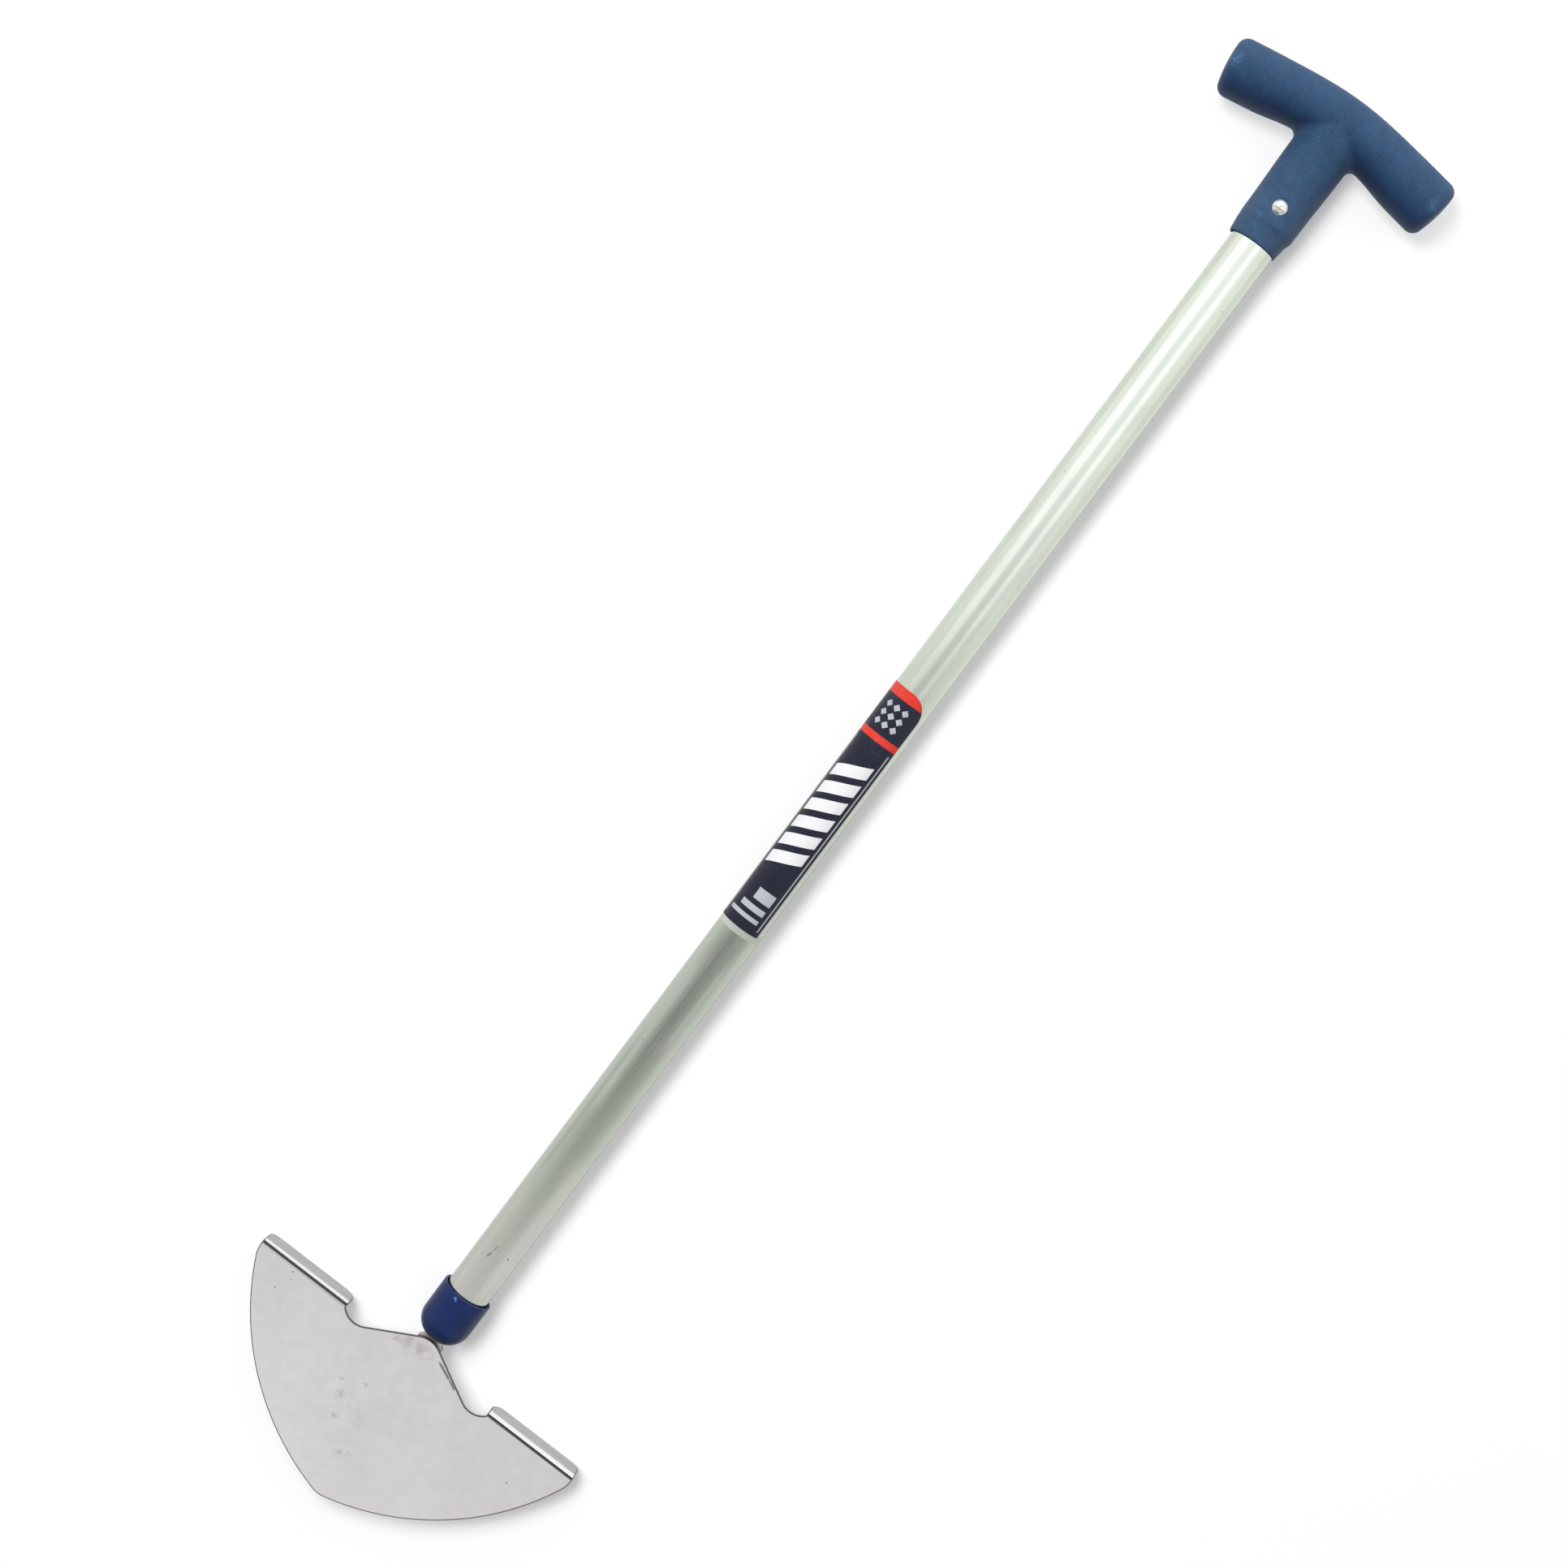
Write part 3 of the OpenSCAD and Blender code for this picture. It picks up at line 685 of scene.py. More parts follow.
class EDGER_OT_shaft(bpy.types.Operator):
    """Builds the tube shaft"""
    bl_idname = "edger.shaft"
    bl_label = "Shaft tube"

    rim_soft = 0.25 * MM
    # Marks in millimetres: place along, across and up, and radius
    specks = ((175.15, -7.1, 26.8, 0.7), (317.25, 6, 27.3, 0.5),
              (805.25, -8.4, 25.7, 0.55), (692.25, 7.5, 26.4, 0.45))

    def execute(self, context):
        s = context.scene.edger_shaft
        radius, soft = TUBE_HIGH.y, self.rim_soft
        inner = radius - s.wall
        start, end = TUBE_LOW.x, TUBE_HIGH.x
        profile = [(start, radius - soft)]
        profile += [(x, radius) for x in np.linspace(start + soft, end - soft, 33)]
        profile += [(end, radius - soft), (end, inner), (start, inner)]
        points, faces = lathe(profile, 144, (0, 0, AXIS_Z))
        tube = mesh_object("shaft_tube_body", points, faces, sharp=40)
        dress(tube, "shaft_tube", self.finish(s))
        return {"FINISHED"}

    def finish(self, s):
        """Drawn bright tube, cooler and lighter toward the grip partly as painted light, with painted
        highlight streaks and a painted dark reflection streak on top, specks and scratches.
        """
        f = Finish("shaft_tube_metal", Metallic=1.0)
        along, _, up = f.split(f.place)
        point = BLADE_LOW.x
        drawn = f.streaks((9, 620, 620), 3, 0.6)
        cloudy = f.streaks((22, 90, 90), 3, 0.5)
        pearly = f.streaks((30, 130, 130), 2, 0.5)
        # Tint from warm grey by the blade to cool green by the grip, and lighter toward the grip as painted
        # light where more light falls
        f.tint = f.mix(f.step(along, point + 0.16, point + 0.25), s.tube_warm_shaded, tone(190, 198, 185))
        f.paint(f.step(along, point + 0.38, point + 0.63), s.tube_cool_lit)
        f.paint(f.step(cloudy, 0.4, 0.7, 0.0, 0.22), tone(193, 199, 188))
        f.paint(f.step(pearly, 0.52, 0.72, 0.0, 0.24), tone(206, 197, 198))
        f.paint(f.step(drawn, 0.5, 0.8, 0.0, 0.08), tone(180, 183, 176))

        top = f.step(up, AXIS_Z, AXIS_Z + 2 * MM)
        # Painted highlights: pale streaks along the top stand in for reflections of the bright room
        pale = f.most(f.stroke((322.0, 5.4, 0.0), 0, 62.0, 4.6),
                      f.times(f.stroke((195.0, -8.0, 0.0), 0, 60.0, 6.0), 0.55),
                      f.times(f.stroke((348.0, -6.4, 0.0), 0, 34.0, 2.6), 0.8))
        f.paint(f.times(pale, top, 0.6), tone(225, 232, 222))
        # Painted reflection: a dark streak along the top stands in for a dark part of the room
        dark = f.stroke((270.0, 8.3, 0.0), 0, 62.0, 2.0)
        f.paint(f.times(dark, top, 0.4), tone(150, 156, 148))
        scratches = f.most(f.stroke((174.9, 2.1, 28.7), -12, 5.0, 0.4),
                           f.stroke((171.6, 2.75, 28.7), -18, 1.9, 0.6),
                           f.stroke((183.25, 0.4, 28.8), -8, 3.0, 0.15))
        scratches = f.times(scratches, top, f.step(f.noise(900, 2), 0.35, 0.55))
        specks = f.most(scratches, f.spots(self.specks))
        f.paint(f.times(specks, 0.85), tone(72, 70, 64))

        # Bare margin of the label film below its print
        margin = f.window(along, (LABEL_LOW.x - 3.9 * MM, LABEL_LOW.x - 3.5 * MM),
                          (LABEL_LOW.x + 1.0 * MM, LABEL_LOW.x + 2.0 * MM))
        f.paint(margin, tone(200, 207, 192))
        f.to_shader(Base_Color=f.tint, Metallic=f.math("SUBTRACT", 1.0, f.times(margin, 0.6)),
                    Roughness=f.plus(f.sheen(drawn, 0.16, 0.21), f.times(specks, 0.2)),
                    Normal=f.bump(drawn, 0.001, 0.3))
        return f


class EDGER_OT_label(bpy.types.Operator):
    """Builds the printed film label"""
    bl_idname = "edger.label"
    bl_label = "Label"

    columns = 72
    corner_columns = 24
    rows = 64
    film_h = 0.1 * MM
    # Print in millimetres, along the film from its blade end and across it from its seen edge
    bar_slope, bar_pitch, bar_shift = 0.45, 11.5, 252.0
    bar_part, bar_run, bar_reach = (1.0, 8.4), (48.0, 116.2), (5.0, 26.0)
    line_parts, line_run = ((2.0, 2.9), (28.2, 29.1)), (3.0, 120.0)
    block_start, blocks = 5.5, ((6.0, 8.4, 25.5), (11.2, 14.6, 21.0), (17.6, 24.4, 16.5))
    bands = ((123.0, 127.0), (149.0, 160.0))
    stud_pitch, stud_r, stud_run, stud_reach = 5.5, 2.2, (130.0, 146.5), (7.0, 23.5)
    print_soft = 0.12

    def execute(self, context):
        s = context.scene.edger_label
        start, end = LABEL_LOW.x, LABEL_HIGH.x
        outer = LABEL_HIGH.z - AXIS_Z
        run = end - start
        around = s.wrap * outer
        corner = s.corner_r
        straight = np.linspace(0, run - corner, self.columns - self.corner_columns)
        turned = run - corner + corner * np.sin(np.linspace(0, math.pi / 2, self.corner_columns + 1)[1:])
        places = list(straight) + list(turned)
        points, film = [], []
        for radius in (outer, outer - self.film_h):
            for along in places:
                past = max(0.0, along - (run - corner))
                trim = corner - math.sqrt(max(0.0, corner ** 2 - past ** 2))
                for k in range(self.rows + 1):
                    across = trim + (around - 2 * trim) * k / self.rows
                    a = s.edge - across / outer
                    points.append((start + along, -radius * math.sin(a), AXIS_Z + radius * math.cos(a)))
                    film.append((along / MM, across / MM, 0))
        wide = self.rows + 1
        layer = len(places) * wide
        faces = []
        for quad in grid_faces(len(places), wide):
            faces += [quad, [layer + n for n in reversed(quad)]]
        rim = ([i * wide for i in range(len(places))]
               + [(len(places) - 1) * wide + k for k in range(1, wide)]
               + [i * wide + self.rows for i in range(len(places) - 2, -1, -1)]
               + list(range(self.rows - 1, 0, -1)))
        for first, second in zip(rim, rim[1:] + rim[:1]):
            faces.append([first, second, layer + second, layer + first])
        label = mesh_object("label_film", points, faces, sharp=40)
        where = label.data.attributes.new("film", "FLOAT_VECTOR", "POINT")
        where.data.foreach_set("vector", np.array(film, dtype=np.float32).ravel())
        dress(label, "label", self.finish(s))
        return {"FINISHED"}

    def finish(self, s):
        """Dark film printed with slanted bars, lines, blocks, bands and studs."""
        f = Finish("label_printed_film", IOR=1.5, Specular_IOR_Level=0.35)
        u, v, _ = f.split(f.attribute("film")["Vector"])

        def between(value, low, high):
            """1 between two places, with a soft printed edge."""
            soft = self.print_soft
            return f.window(value, (low - soft, low + soft), (high - soft, high + soft))

        def off_stud(value, start):
            """Distance from the middle of the nearest stud along one side of the film."""
            beat = f.math("MODULO", f.math("SUBTRACT", value, start), self.stud_pitch)
            return f.math("ABSOLUTE", f.math("SUBTRACT", beat, self.stud_pitch / 2))

        slant = f.plus(u, f.times(v, self.bar_slope))
        beat = f.math("MODULO", f.plus(slant, self.bar_shift), self.bar_pitch)
        bars = f.times(between(beat, *self.bar_part), between(slant, *self.bar_run),
                       between(v, *self.bar_reach))
        lines = f.times(f.most(*[between(v, *part) for part in self.line_parts]), between(u, *self.line_run))
        blocks = [f.times(between(u, low, high), between(v, self.block_start, far))
                  for low, high, far in self.blocks]
        bands = f.most(*[between(u, *band) for band in self.bands])
        studs = f.plus(off_stud(u, self.stud_run[0]), off_stud(v, self.stud_reach[0]))
        studs = f.times(between(studs, -1.0, self.stud_r), between(u, *self.stud_run),
                        between(v, *self.stud_reach))
        f.tint = f.mix(bars, s.field, s.bar)
        f.paint(f.most(lines, *blocks), s.line)
        f.paint(bands, s.band)
        f.paint(studs, s.line)
        rubbed = f.noise(60, 4, 0.6)
        f.paint(f.step(rubbed, 0.56, 0.78, 0.0, 0.14), tone(150, 150, 156))
        f.to_shader(Base_Color=f.tint, Roughness=f.sheen(rubbed, 0.3, 0.42),
                    Normal=f.bump(f.noise(240, 2), 0.012, 0.4))
        return f


def surface_net(field, low, high, cell):
    """Points and quads near the zero surface of a field, and which points lie in the first layer along X."""
    counts = np.ceil((high - low) / cell).astype(int) + 1
    axes = [low[i] + cell * np.arange(counts[i]) for i in range(3)]
    grid = np.stack(np.meshgrid(*axes, indexing="ij"), -1)
    inside = (field(grid.reshape(-1, 3)) < 0).reshape(counts)
    total = sum(inside[i:counts[0] - 1 + i, j:counts[1] - 1 + j, k:counts[2] - 1 + k].astype(int)
                for i in (0, 1) for j in (0, 1) for k in (0, 1))
    mixed = (total > 0) & (total < 8)
    index = np.full(mixed.shape, -1)
    index[mixed] = np.arange(mixed.sum())
    cells = np.argwhere(mixed)
    points = low + cell * (cells + 0.5)
    faces = []
    for axis in range(3):
        b, c = (axis + 1) % 3, (axis + 2) % 3
        first = np.take(inside, range(counts[axis] - 1), axis)
        second = np.take(inside, range(1, counts[axis]), axis)
        where = np.argwhere(first != second)
        clear = ((where[:, b] > 0) & (where[:, b] < counts[b] - 1)
                 & (where[:, c] > 0) & (where[:, c] < counts[c] - 1))
        where = where[clear]
        step_b, step_c = np.eye(3, dtype=int)[b], np.eye(3, dtype=int)[c]
        corners = [where - step_b - step_c, where - step_c, where, where - step_b]
        faces.append(np.stack([index[tuple(corner.T)] for corner in corners], 1))
    return points, np.concatenate(faces), cells[:, 0] == 0


def ease(value, start, end):
    """Soft change of an array from 0 to 1."""
    share = np.clip((value - start) / (end - start), 0, 1)
    return share * share * (3 - 2 * share)


class EDGER_OT_grip(bpy.types.Operator):
    """Builds the moulded T grip"""
    bl_idname = "edger.grip"
    bl_label = "Grip"

    lip_cut = 0.0075
    relax_rounds, relax_share = 6, 0.6
    skin_rounds, skin_reach = 4, 0.02 * MM
    # Outline of the stem in millimetres: places from the rim, up to the bar, and radii
    stem_places = (0, 8.3, 9.5, 10.4, 11.6, 12.4, 18)
    stem_radii = (13.95, 14.96, 15.13, 15.36, 15.64, 15.72, 15.7, 15.55)
    # Mouth of the socket in millimetres: places from the rim with radii, or with how far the bore opens
    lip_places, lip_edge = (6, 4, 2, 0.6), ((0.2, 13.82), (0, 13.6))
    mouth = ((0.05, 0.55), (0.4, 0.42), (2.5, 0.25), (5, 0), (30, 0))
    bore_gap = 0.05 * MM
    # Forms of bar and stem: how much, and the two places between which each comes in or goes
    slim_share, slim_run = 0.04, (0, 42 * MM)
    scoop_h, scoop_run = 1.3 * MM, (20 * MM, 46 * MM)
    swell_run = (20 * MM, 52 * MM)
    flare_share, flare_run = 0.055, (14 * MM, 56 * MM)
    lip_shift, lip_run = 0.5 * MM, (7.5 * MM, 12 * MM)
    seat_r, seat_z, seat_soft = 4.25 * MM, 15.0 * MM, 0.35 * MM
    # Worn spots in millimetres: place along, across and up, and radius
    worn_spots = ((910.1, 64.4, 31.5, 7), (908.6, -63.5, 32, 5.5), (855.3, 6, 31, 2.6))

    def execute(self, context):
        s = context.scene.edger_grip
        rim_x = GRIP_LOW.x
        end_r = (GRIP_HIGH.z - GRIP_LOW.z) / 2
        waist_r = s.waist_d / 2
        bar_h = GRIP_HIGH.x - waist_r - rim_x
        half_w = GRIP_HIGH.y
        lean_cos, lean_sin = math.cos(s.lean), math.sin(s.lean)
        joint_y, joint_h = s.arch_r * lean_sin, bar_h - s.arch_r * (1 - lean_cos)
        arm_len = (half_w - s.dome_r - joint_y) / lean_cos + s.dome_r
        fine_run = np.linspace(0, bar_h, 400)
        stem_run = np.array([*self.stem_places, bar_h / MM]) * MM
        rough_size = np.interp(fine_run, stem_run, np.array(self.stem_radii) * MM)
        kernel = np.hanning(9) / np.hanning(9).sum()
        fine_size = np.convolve(np.pad(rough_size, 4, mode="edge"), kernel, "valid")

        def field(p):
            """Distance from the skin of the grip, negative inside; along is measured from the rim."""
            along, aside, z = p[:, 0], np.abs(p[:, 1]), p[:, 2]
            from_arch = along - (bar_h - s.arch_r)
            turned = np.arctan2(aside, from_arch)
            past = (aside - joint_y) * lean_cos - (along - joint_h) * lean_sin
            on_arm = turned > s.lean
            lateral = np.where(on_arm, (along - joint_h) * lean_cos + (aside - joint_y) * lean_sin,
                               np.hypot(from_arch, aside) - s.arch_r)
            run = s.arch_r * s.lean + np.where(on_arm, past, s.arch_r * (turned - s.lean))
            slim = 1 + self.slim_share * ease(run, *self.slim_run) * ease(lateral, 0, waist_r)
            ring = np.hypot(lateral * slim, z) + TINY
            scoop = self.scoop_h * (1 - ease(run, *self.scoop_run)) * np.maximum(-lateral / ring, 0) ** 2
            side = ring - waist_r - (end_r - waist_r) * ease(run, *self.swell_run) + scoop
            end = np.hypot(ring, past - arm_len + s.dome_r) - s.dome_r
            over_side, over_end = np.maximum(s.end_r + side, 0), np.maximum(s.end_r + end, 0)
            bar = np.minimum(-s.end_r, np.maximum(side, end)) + np.hypot(over_side, over_end)
            flare = 1 + self.flare_share * ease(along, *self.flare_run)
            shift = self.lip_shift * (1 - ease(along, *self.lip_run))
            out = np.hypot((p[:, 1] - shift) / flare, z) + TINY
            stem = np.maximum(out - np.interp(along, fine_run, fine_size), along - bar_h)
            alike = lateral / ring * np.sin(np.minimum(turned, s.lean)) * aside / out + z / ring * z / out
            fillet = s.crotch_r * np.clip(1 - alike, 0, 1) + 1e-6
            near_bar, near_stem = np.maximum(fillet - bar, 0), np.maximum(fillet - stem, 0)
            skin = np.maximum(fillet, np.minimum(bar, stem)) - np.hypot(near_bar, near_stem)
            seat = np.maximum(np.hypot(along - s.rivet_h, aside) - self.seat_r, self.seat_z - np.abs(z))
            soft = self.seat_soft
            deep_skin, deep_seat = np.maximum(soft + skin, 0), np.maximum(soft - seat, 0)
            return np.minimum(-soft, np.maximum(skin, -seat)) + np.hypot(deep_skin, deep_seat)

        margin = 2 * s.cell
        low = np.array([self.lip_cut, -half_w - margin, -end_r - margin])
        high = np.array([bar_h + waist_r + margin, half_w + margin, end_r + margin])
        points, quads, at_lip = surface_net(field, low, high, s.cell)
        edges = np.concatenate([quads[:, [i, (i + 1) % 4]] for i in range(4)])
        edges = np.concatenate([edges, edges[:, ::-1]])
        weight = np.bincount(edges[:, 0], minlength=len(points))[:, None]
        lip_r = float(np.interp(self.lip_cut, fine_run, fine_size))

        def onto_skin(p):
            """Points moved along the slope of the field to its zero, those of the lip onto its ring."""
            reach = self.skin_reach
            for _ in range(self.skin_rounds):
                value = field(p)[:, None]
                slope = np.stack([(field(p + step) - field(p - step)) / (2 * reach)
                                  for step in np.eye(3) * reach], 1)
                p = p - value * slope / np.maximum((slope ** 2).sum(1, keepdims=True), 0.1)
            out = np.hypot(p[at_lip, 1] - self.lip_shift, p[at_lip, 2])
            p[at_lip, 0] = self.lip_cut
            p[at_lip, 1] = self.lip_shift + (p[at_lip, 1] - self.lip_shift) * lip_r / out
            p[at_lip, 2] *= lip_r / out
            return p

        for _ in range(self.relax_rounds):
            mean = np.zeros_like(points)
            np.add.at(mean, edges[:, 0], points[edges[:, 1]])
            points = onto_skin(points * (1 - self.relax_share) + mean / weight * self.relax_share)

        lip = np.flatnonzero(at_lip)
        lip = lip[np.argsort(np.arctan2(points[lip, 2], points[lip, 1] - self.lip_shift))]
        angles = np.arctan2(points[lip, 2], points[lip, 1] - self.lip_shift)
        bore = TUBE_HIGH.y + self.bore_gap
        profile = [(place * MM, float(np.interp(place * MM, fine_run, fine_size)))
                   for place in self.lip_places]
        profile += [(place * MM, radius * MM) for place, radius in self.lip_edge]
        profile += [(place * MM, bore + opening * MM) for place, opening in self.mouth]
        profile.append((TUBE_HIGH.x - rim_x, bore))
        verts, faces = list(points), [tuple(quad) for quad in quads]
        ring = list(lip)
        for along, radius in profile:
            moved = self.lip_shift if radius > bore else 0.0
            new = list(range(len(verts), len(verts) + len(angles)))
            verts += [(along, moved + radius * math.cos(a), radius * math.sin(a)) for a in angles]
            for i in range(len(ring)):
                j = (i + 1) % len(ring)
                faces.append((ring[i], ring[j], new[j], new[i]))
            ring = new
        faces.append(tuple(ring))
        placed = [(rim_x + p[0], p[1], AXIS_Z + p[2]) for p in verts]
        grip = mesh_object("grip_moulding", placed, faces, sharp=55)
        dress(grip, "handle", self.finish(s))
        return {"FINISHED"}

    def finish(self, s):
        """Matt pebbled plastic, paler toward the stem, with worn spots at the ends of the bar, painted shade
        at the step and painted shade on the sides turned toward the blade.
        """
        f = Finish("grip_plastic_pebbled", IOR=1.48, Specular_IOR_Level=0.4)
        leather = f.noise(1500, 3, 0.6)
        mottle = f.noise(150, 4, 0.65)
        f.tint = f.mix(f.step(mottle, 0.32, 0.7), s.plastic, tone(41, 71, 103))
        f.paint(f.step(leather, 0.52, 0.72, 0.0, 0.5), tone(66, 102, 132))
        f.paint(f.step(leather, 0.3, 0.46, 0.45, 0.0), tone(22, 44, 76))
        f.paint(f.step(f.noise(760, 2, 0.7), 0.54, 0.74, 0.0, 0.4), tone(64, 96, 128))

        run = f.times(f.math("SUBTRACT", f.split(f.place)[0], GRIP_LOW.x), 1 / MM)
        # Painted shade: a darker band along the step near the rim of the stem, where the step is shaded
        painted_crease_shade = f.times(f.window(run, (8.6, 9.7), (9.9, 11.2)), f.step(f.noise(90, 3), 0.4, 0.62, 0.0, 0.3))
        f.paint(painted_crease_shade, tone(20, 38, 66))
        pale = f.times(f.step(run, 4.0, 62.0, 0.44, 0.0), f.step(mottle, 0.2, 0.8, 0.5, 1.0))
        f.paint(pale, tone(76, 104, 134))
        # Painted shade: sides turned away from the lamp, toward the blade, are painted darker and bluer
        shaded_side_normal = f.split(f.node("ShaderNodeNewGeometry").outputs["Normal"])
        f.paint(f.step(shaded_side_normal[0], -0.85, -0.2, 0.5, 0.0), tone(20, 58, 110))
        worn = f.spots(self.worn_spots, 0.95, f.warped(160, 3.5))
        f.paint(f.times(worn, f.step(f.noise(560, 4, 0.65), 0.36, 0.66, 0.1, 0.7)), s.worn)

        height = f.plus(f.times(f.grains(1250), 0.7), f.times(leather, 0.6))
        f.to_shader(Base_Color=f.tint, Roughness=f.sheen(leather, 0.5, 0.64),
                    Normal=f.bump(height, 0.12, 0.55))
        return f


class EDGER_OT_rivet(bpy.types.Operator):
    """Builds the domed rivet of the grip"""
    bl_idname = "edger.rivet"
    bl_label = "Grip rivet"

    head_h, shank_r, tail_h = 1.9 * MM, 2.4 * MM, 0.6 * MM

    def execute(self, context):
        s = context.scene.edger_shaft
        middle = (RIVET_LOW + RIVET_HIGH) / 2
        head_r, shank = RIVET_HIGH.y, self.shank_r
        top, foot = RIVET_HIGH.z, RIVET_LOW.z
        seat, tail = top - self.head_h, foot + self.tail_h
        cap_r = (head_r ** 2 + self.head_h ** 2) / 2 / self.head_h
        spread = math.degrees(math.asin(head_r / cap_r))
        profile = [(top, 0)] + arc((top - cap_r, 0), cap_r, 0, spread, 14)[1:-1]
        profile += [(seat + 0.25 * MM, head_r - 0.1 * MM), (seat + 0.12 * MM, head_r),
                    (seat, head_r - 0.08 * MM), (seat, shank), (tail, shank), (tail, head_r),
                    (foot + 0.15 * MM, head_r), (foot, head_r - 0.2 * MM), (foot, 0)]
        points, faces = lathe(profile, 64, (middle.x, 0, 0), "Z", closed=False)
        rivet = mesh_object("grip_rivet_head", points, faces, sharp=40)
        f = Finish("rivet_bright_metal", Metallic=1.0)
        marks = f.noise(520, 3, 0.6)
        f.to_shader(Base_Color=f.mix(f.step(marks, 0.45, 0.7), s.rivet, tone(204, 201, 195)),
                    Roughness=f.sheen(marks, 0.2, 0.26), Normal=f.bump(f.noise(420, 2), 0.004, 0.4))
        dress(rivet, "handle_rivet", f)
        return {"FINISHED"}


class EDGER_OT_stage(bpy.types.Operator):
    """Builds the floor, the lights and the camera"""
    bl_idname = "edger.stage"
    bl_label = "Studio"

    floor_half, floor_cuts = 6.0, 8
    # Where the lift of the floor grows to full, its share near the tool and its share in mirrors
    lift_run, lift_near, lift_mirror = (0.8, 2.6), 0.33, 0.2
    sensor_width = 36
    # Room that metal mirrors: places along the shaft, as shares of the height above it
    gap_start, gap_end, box_start = (-0.345, -0.25), (-0.18, 0.11), (-0.16, 0.07)
    far_end, near_end = (-1.6, -0.6), (0.6, 1.6)
    # Places round the shaft, in radians from straight up, and how far the boxes lean to one side
    gap_half, rise_half, box_lean = 2.4, 2.9, 0.3
    box_inner, box_outer, cool_outer = (0.2, 0.42), (0.52, 0.84), (0.55, 0.9)
    # How much each part of the room adds to the light or takes from it
    gap_depth, rise, box_power, side_power, far_power, near_power = -0.68, 0.22, 0.38, 0.04, -0.75, 0.25
    cool_share, fill_power, fill_slope = 0.05, 0.35, 0.34

    def floor(self, s):
        """Pale floor that keeps the shadow, a little lifted where it is looked at."""
        steps = np.linspace(-self.floor_half, self.floor_half, self.floor_cuts + 1)
        points = [(x, y, 0.0) for x in steps for y in steps]
        ground = mesh_object("studio_floor", points, grid_faces(len(steps), len(steps)), smooth=False)
        f = Finish("studio_floor_paper", Roughness=0.9, Specular_IOR_Level=0.0)
        rays = f.node("ShaderNodeLightPath").outputs
        seen, glossy = f.most(rays["Is Camera Ray"], rays["Is Transmission Ray"]), rays["Is Glossy Ray"]
        away = f.math("SQRT", f.plus(*[f.times(value, value) for value in f.split(f.place)[:2]]))
        lift = f.plus(f.times(seen, f.step(away, *self.lift_run, self.lift_near, 1.0)),
                      f.times(glossy, self.lift_mirror))
        f.to_shader(Base_Color=f.mix(f.most(seen, glossy), tone(190, 190, 190), s.floor),
                    Emission_Color=(1.0, 1.0, 1.0), Emission_Strength=lift)
        ground.data.materials.append(f.material)
        return ground

    def lamp(self, name, place, size, power, lit, shading):
        """Soft lamp aimed at the middle, for some objects only and with shadows of some objects only."""
        data = bpy.data.lights.new(name, "AREA")
        data.shape = "RECTANGLE"
        data.size = data.size_y = size
        data.energy = power
        made = bpy.data.objects.new(name, data)
        made.location = place
        made.rotation_euler = (-Vector(place)).to_track_quat("-Z", "Y").to_euler()
        made.visible_glossy = False
        bpy.context.scene.collection.objects.link(made)
        for role, chosen in (("receiver", lit), ("blocker", shading)):
            group = bpy.data.collections.new(name + "_" + role)
            for one in chosen:
                group.objects.link(one)
            setattr(made.light_linking, role + "_collection", group)

    def world(self):
        """White room for the eye; for metal, two bright boxes at the grip end and a gap above the shaft."""
        room = bpy.data.worlds.new("studio_room")
        bpy.context.scene.world = room
        n = Nodes(room)
        x, y, z = n.split(n.node("ShaderNodeTexCoord").outputs["Generated"])
        level = n.most(n.math("SQRT", n.plus(n.times(y, y), n.times(z, z))), 0.05)
        lengthways = n.math("DIVIDE", x, level)
        sideways = n.math("ARCTAN2", n.math("ABSOLUTE", y), z)
        outer = n.math("SUBTRACT", sideways, n.step(y, -0.05, 0.05, 0.0, self.box_lean))
        gap = n.plus(n.step(lengthways, *self.gap_start, 0.0, self.gap_depth),
                     n.step(lengthways, *self.gap_end, 0.0, -self.gap_depth))
        rise = n.step(lengthways, *self.gap_end, 0.0, self.rise)
        boxes = n.times(n.step(sideways, *self.box_inner), n.fall(outer, *self.box_outer))
        shown = n.plus(1.0, n.times(gap, n.fall(sideways, 0.0, self.gap_half)),
                       n.times(rise, n.fall(sideways, 0.0, self.rise_half)),
                       n.times(boxes, n.step(lengthways, *self.box_start, 0.0, self.box_power)),
                       n.times(n.math("DIVIDE", y, level), self.side_power),
                       n.step(lengthways, *self.far_end, self.far_power, 0.0),
                       n.step(lengthways, *self.near_end, 0.0, self.near_power))
        rays = n.node("ShaderNodeLightPath").outputs
        eye, glossy = n.most(rays["Is Camera Ray"], rays["Is Transmission Ray"]), rays["Is Glossy Ray"]
        fill = n.plus(self.fill_power, n.times(x, self.fill_slope))
        plain = n.times(n.math("SUBTRACT", 1.0, n.most(eye, glossy)), fill)
        cool = n.times(n.step(lengthways, *self.box_start, 0.0, self.cool_share),
                       n.fall(outer, *self.cool_outer), glossy)
        tint = n.node("ShaderNodeCombineColor", {0: 1.0, 1: 1.0, 2: n.plus(1.0, cool)}).outputs[0]
        light = n.plus(eye, n.times(glossy, shown), plain)
        back = n.node("ShaderNodeBackground", {"Color": tint, "Strength": light})
        n.node("ShaderNodeOutputWorld", {"Surface": back.outputs[0]})

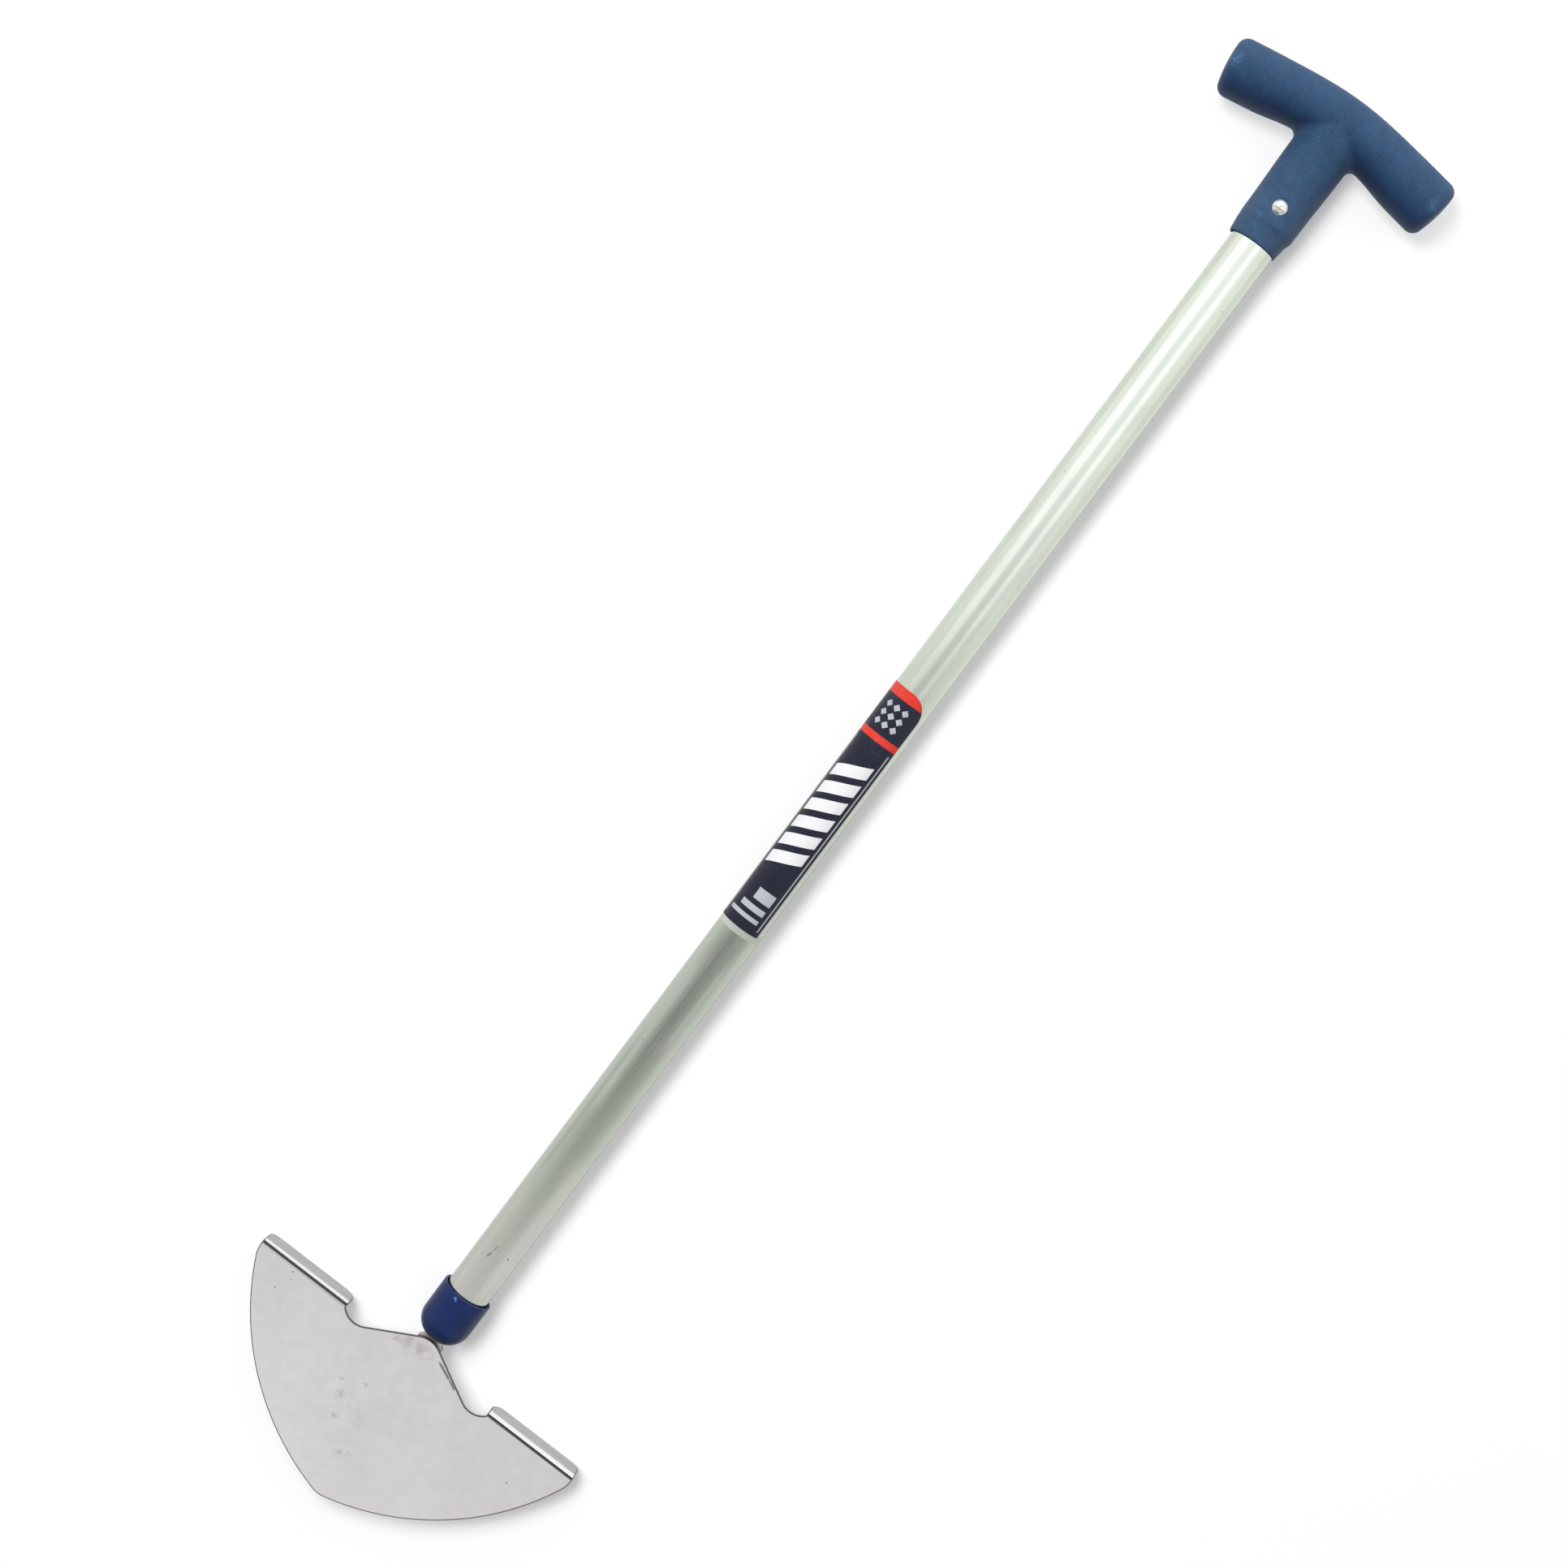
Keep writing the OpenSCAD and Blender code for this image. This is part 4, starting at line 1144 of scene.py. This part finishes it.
    def camera(self, s):
        """Camera that looks from its place to its aim, turned about the view."""
        place, aim = Vector(s.camera_place), Vector(s.camera_aim)
        ahead = (aim - place).normalized()
        along = Vector((1, 0, 0)) - ahead.x * ahead
        along.normalize()
        across = ahead.cross(along)
        if across.y > 0:
            across = -across
        right = along * math.cos(s.camera_turn) + across * math.sin(s.camera_turn)
        down = across * math.cos(s.camera_turn) - along * math.sin(s.camera_turn)
        data = bpy.data.cameras.new("studio_camera")
        data.lens = s.camera_lens
        data.sensor_width = self.sensor_width
        data.sensor_fit = "HORIZONTAL"
        data.clip_start, data.clip_end = 0.05, 30
        made = bpy.data.objects.new("studio_camera", data)
        made.matrix_world = Matrix.Translation(place) @ Matrix((right, -down, -ahead)).transposed().to_4x4()
        bpy.context.scene.collection.objects.link(made)
        bpy.context.scene.camera = made

    def execute(self, context):
        s = context.scene.edger_stage
        pieces = [one for one in context.scene.objects if one.type == "MESH"]
        ground = self.floor(s)
        low = [one for one in pieces if one.name.split("_")[0] not in ("grip", "handle")]
        self.lamp("piece_lamp", (3.3, 1.7, 4.71), 2.0, 328, pieces, pieces)
        self.lamp("floor_lamp", (0.57, 2.25, 5.5), 2.2, 168, [ground], pieces)
        self.lamp("edge_lamp", (2.6, 2.2, 5.25), 2.2, 204, [ground], low)
        self.world()
        self.camera(s)
        context.scene.view_settings.view_transform = "Standard"
        return {"FINISHED"}


class EDGER_PT_pieces(bpy.types.Panel):
    """Lists the pieces of the edger"""
    bl_label = "Half Moon Edger"
    bl_idname = "EDGER_PT_pieces"
    bl_space_type = "VIEW_3D"
    bl_region_type = "UI"
    bl_category = "Edger"

    def draw(self, context):
        for operator in OPERATORS:
            self.layout.operator(operator.bl_idname)


SETTINGS = {"edger_blade": EdgerBladeSettings, "edger_shaft": EdgerShaftSettings,
            "edger_label": EdgerLabelSettings, "edger_grip": EdgerGripSettings,
            "edger_stage": EdgerStageSettings}
OPERATORS = (EDGER_OT_blade, EDGER_OT_neck, EDGER_OT_collar, EDGER_OT_shaft, EDGER_OT_label, EDGER_OT_grip,
             EDGER_OT_rivet, EDGER_OT_stage)


def register():
    for settings in SETTINGS.values():
        bpy.utils.register_class(settings)
    for operator in OPERATORS:
        bpy.utils.register_class(operator)
    bpy.utils.register_class(EDGER_PT_pieces)
    for name, settings in SETTINGS.items():
        setattr(bpy.types.Scene, name, PointerProperty(type=settings))


def unregister():
    for name in SETTINGS:
        delattr(bpy.types.Scene, name)
    bpy.utils.unregister_class(EDGER_PT_pieces)
    for operator in reversed(OPERATORS):
        bpy.utils.unregister_class(operator)
    for settings in reversed(list(SETTINGS.values())):
        bpy.utils.unregister_class(settings)


def main():
    register()
    bpy.ops.edger.blade()
    bpy.ops.edger.neck()
    bpy.ops.edger.collar()
    bpy.ops.edger.shaft()
    bpy.ops.edger.label()
    bpy.ops.edger.grip()
    bpy.ops.edger.rivet()
    bpy.ops.edger.stage()


if __name__ == "__main__":
    main()
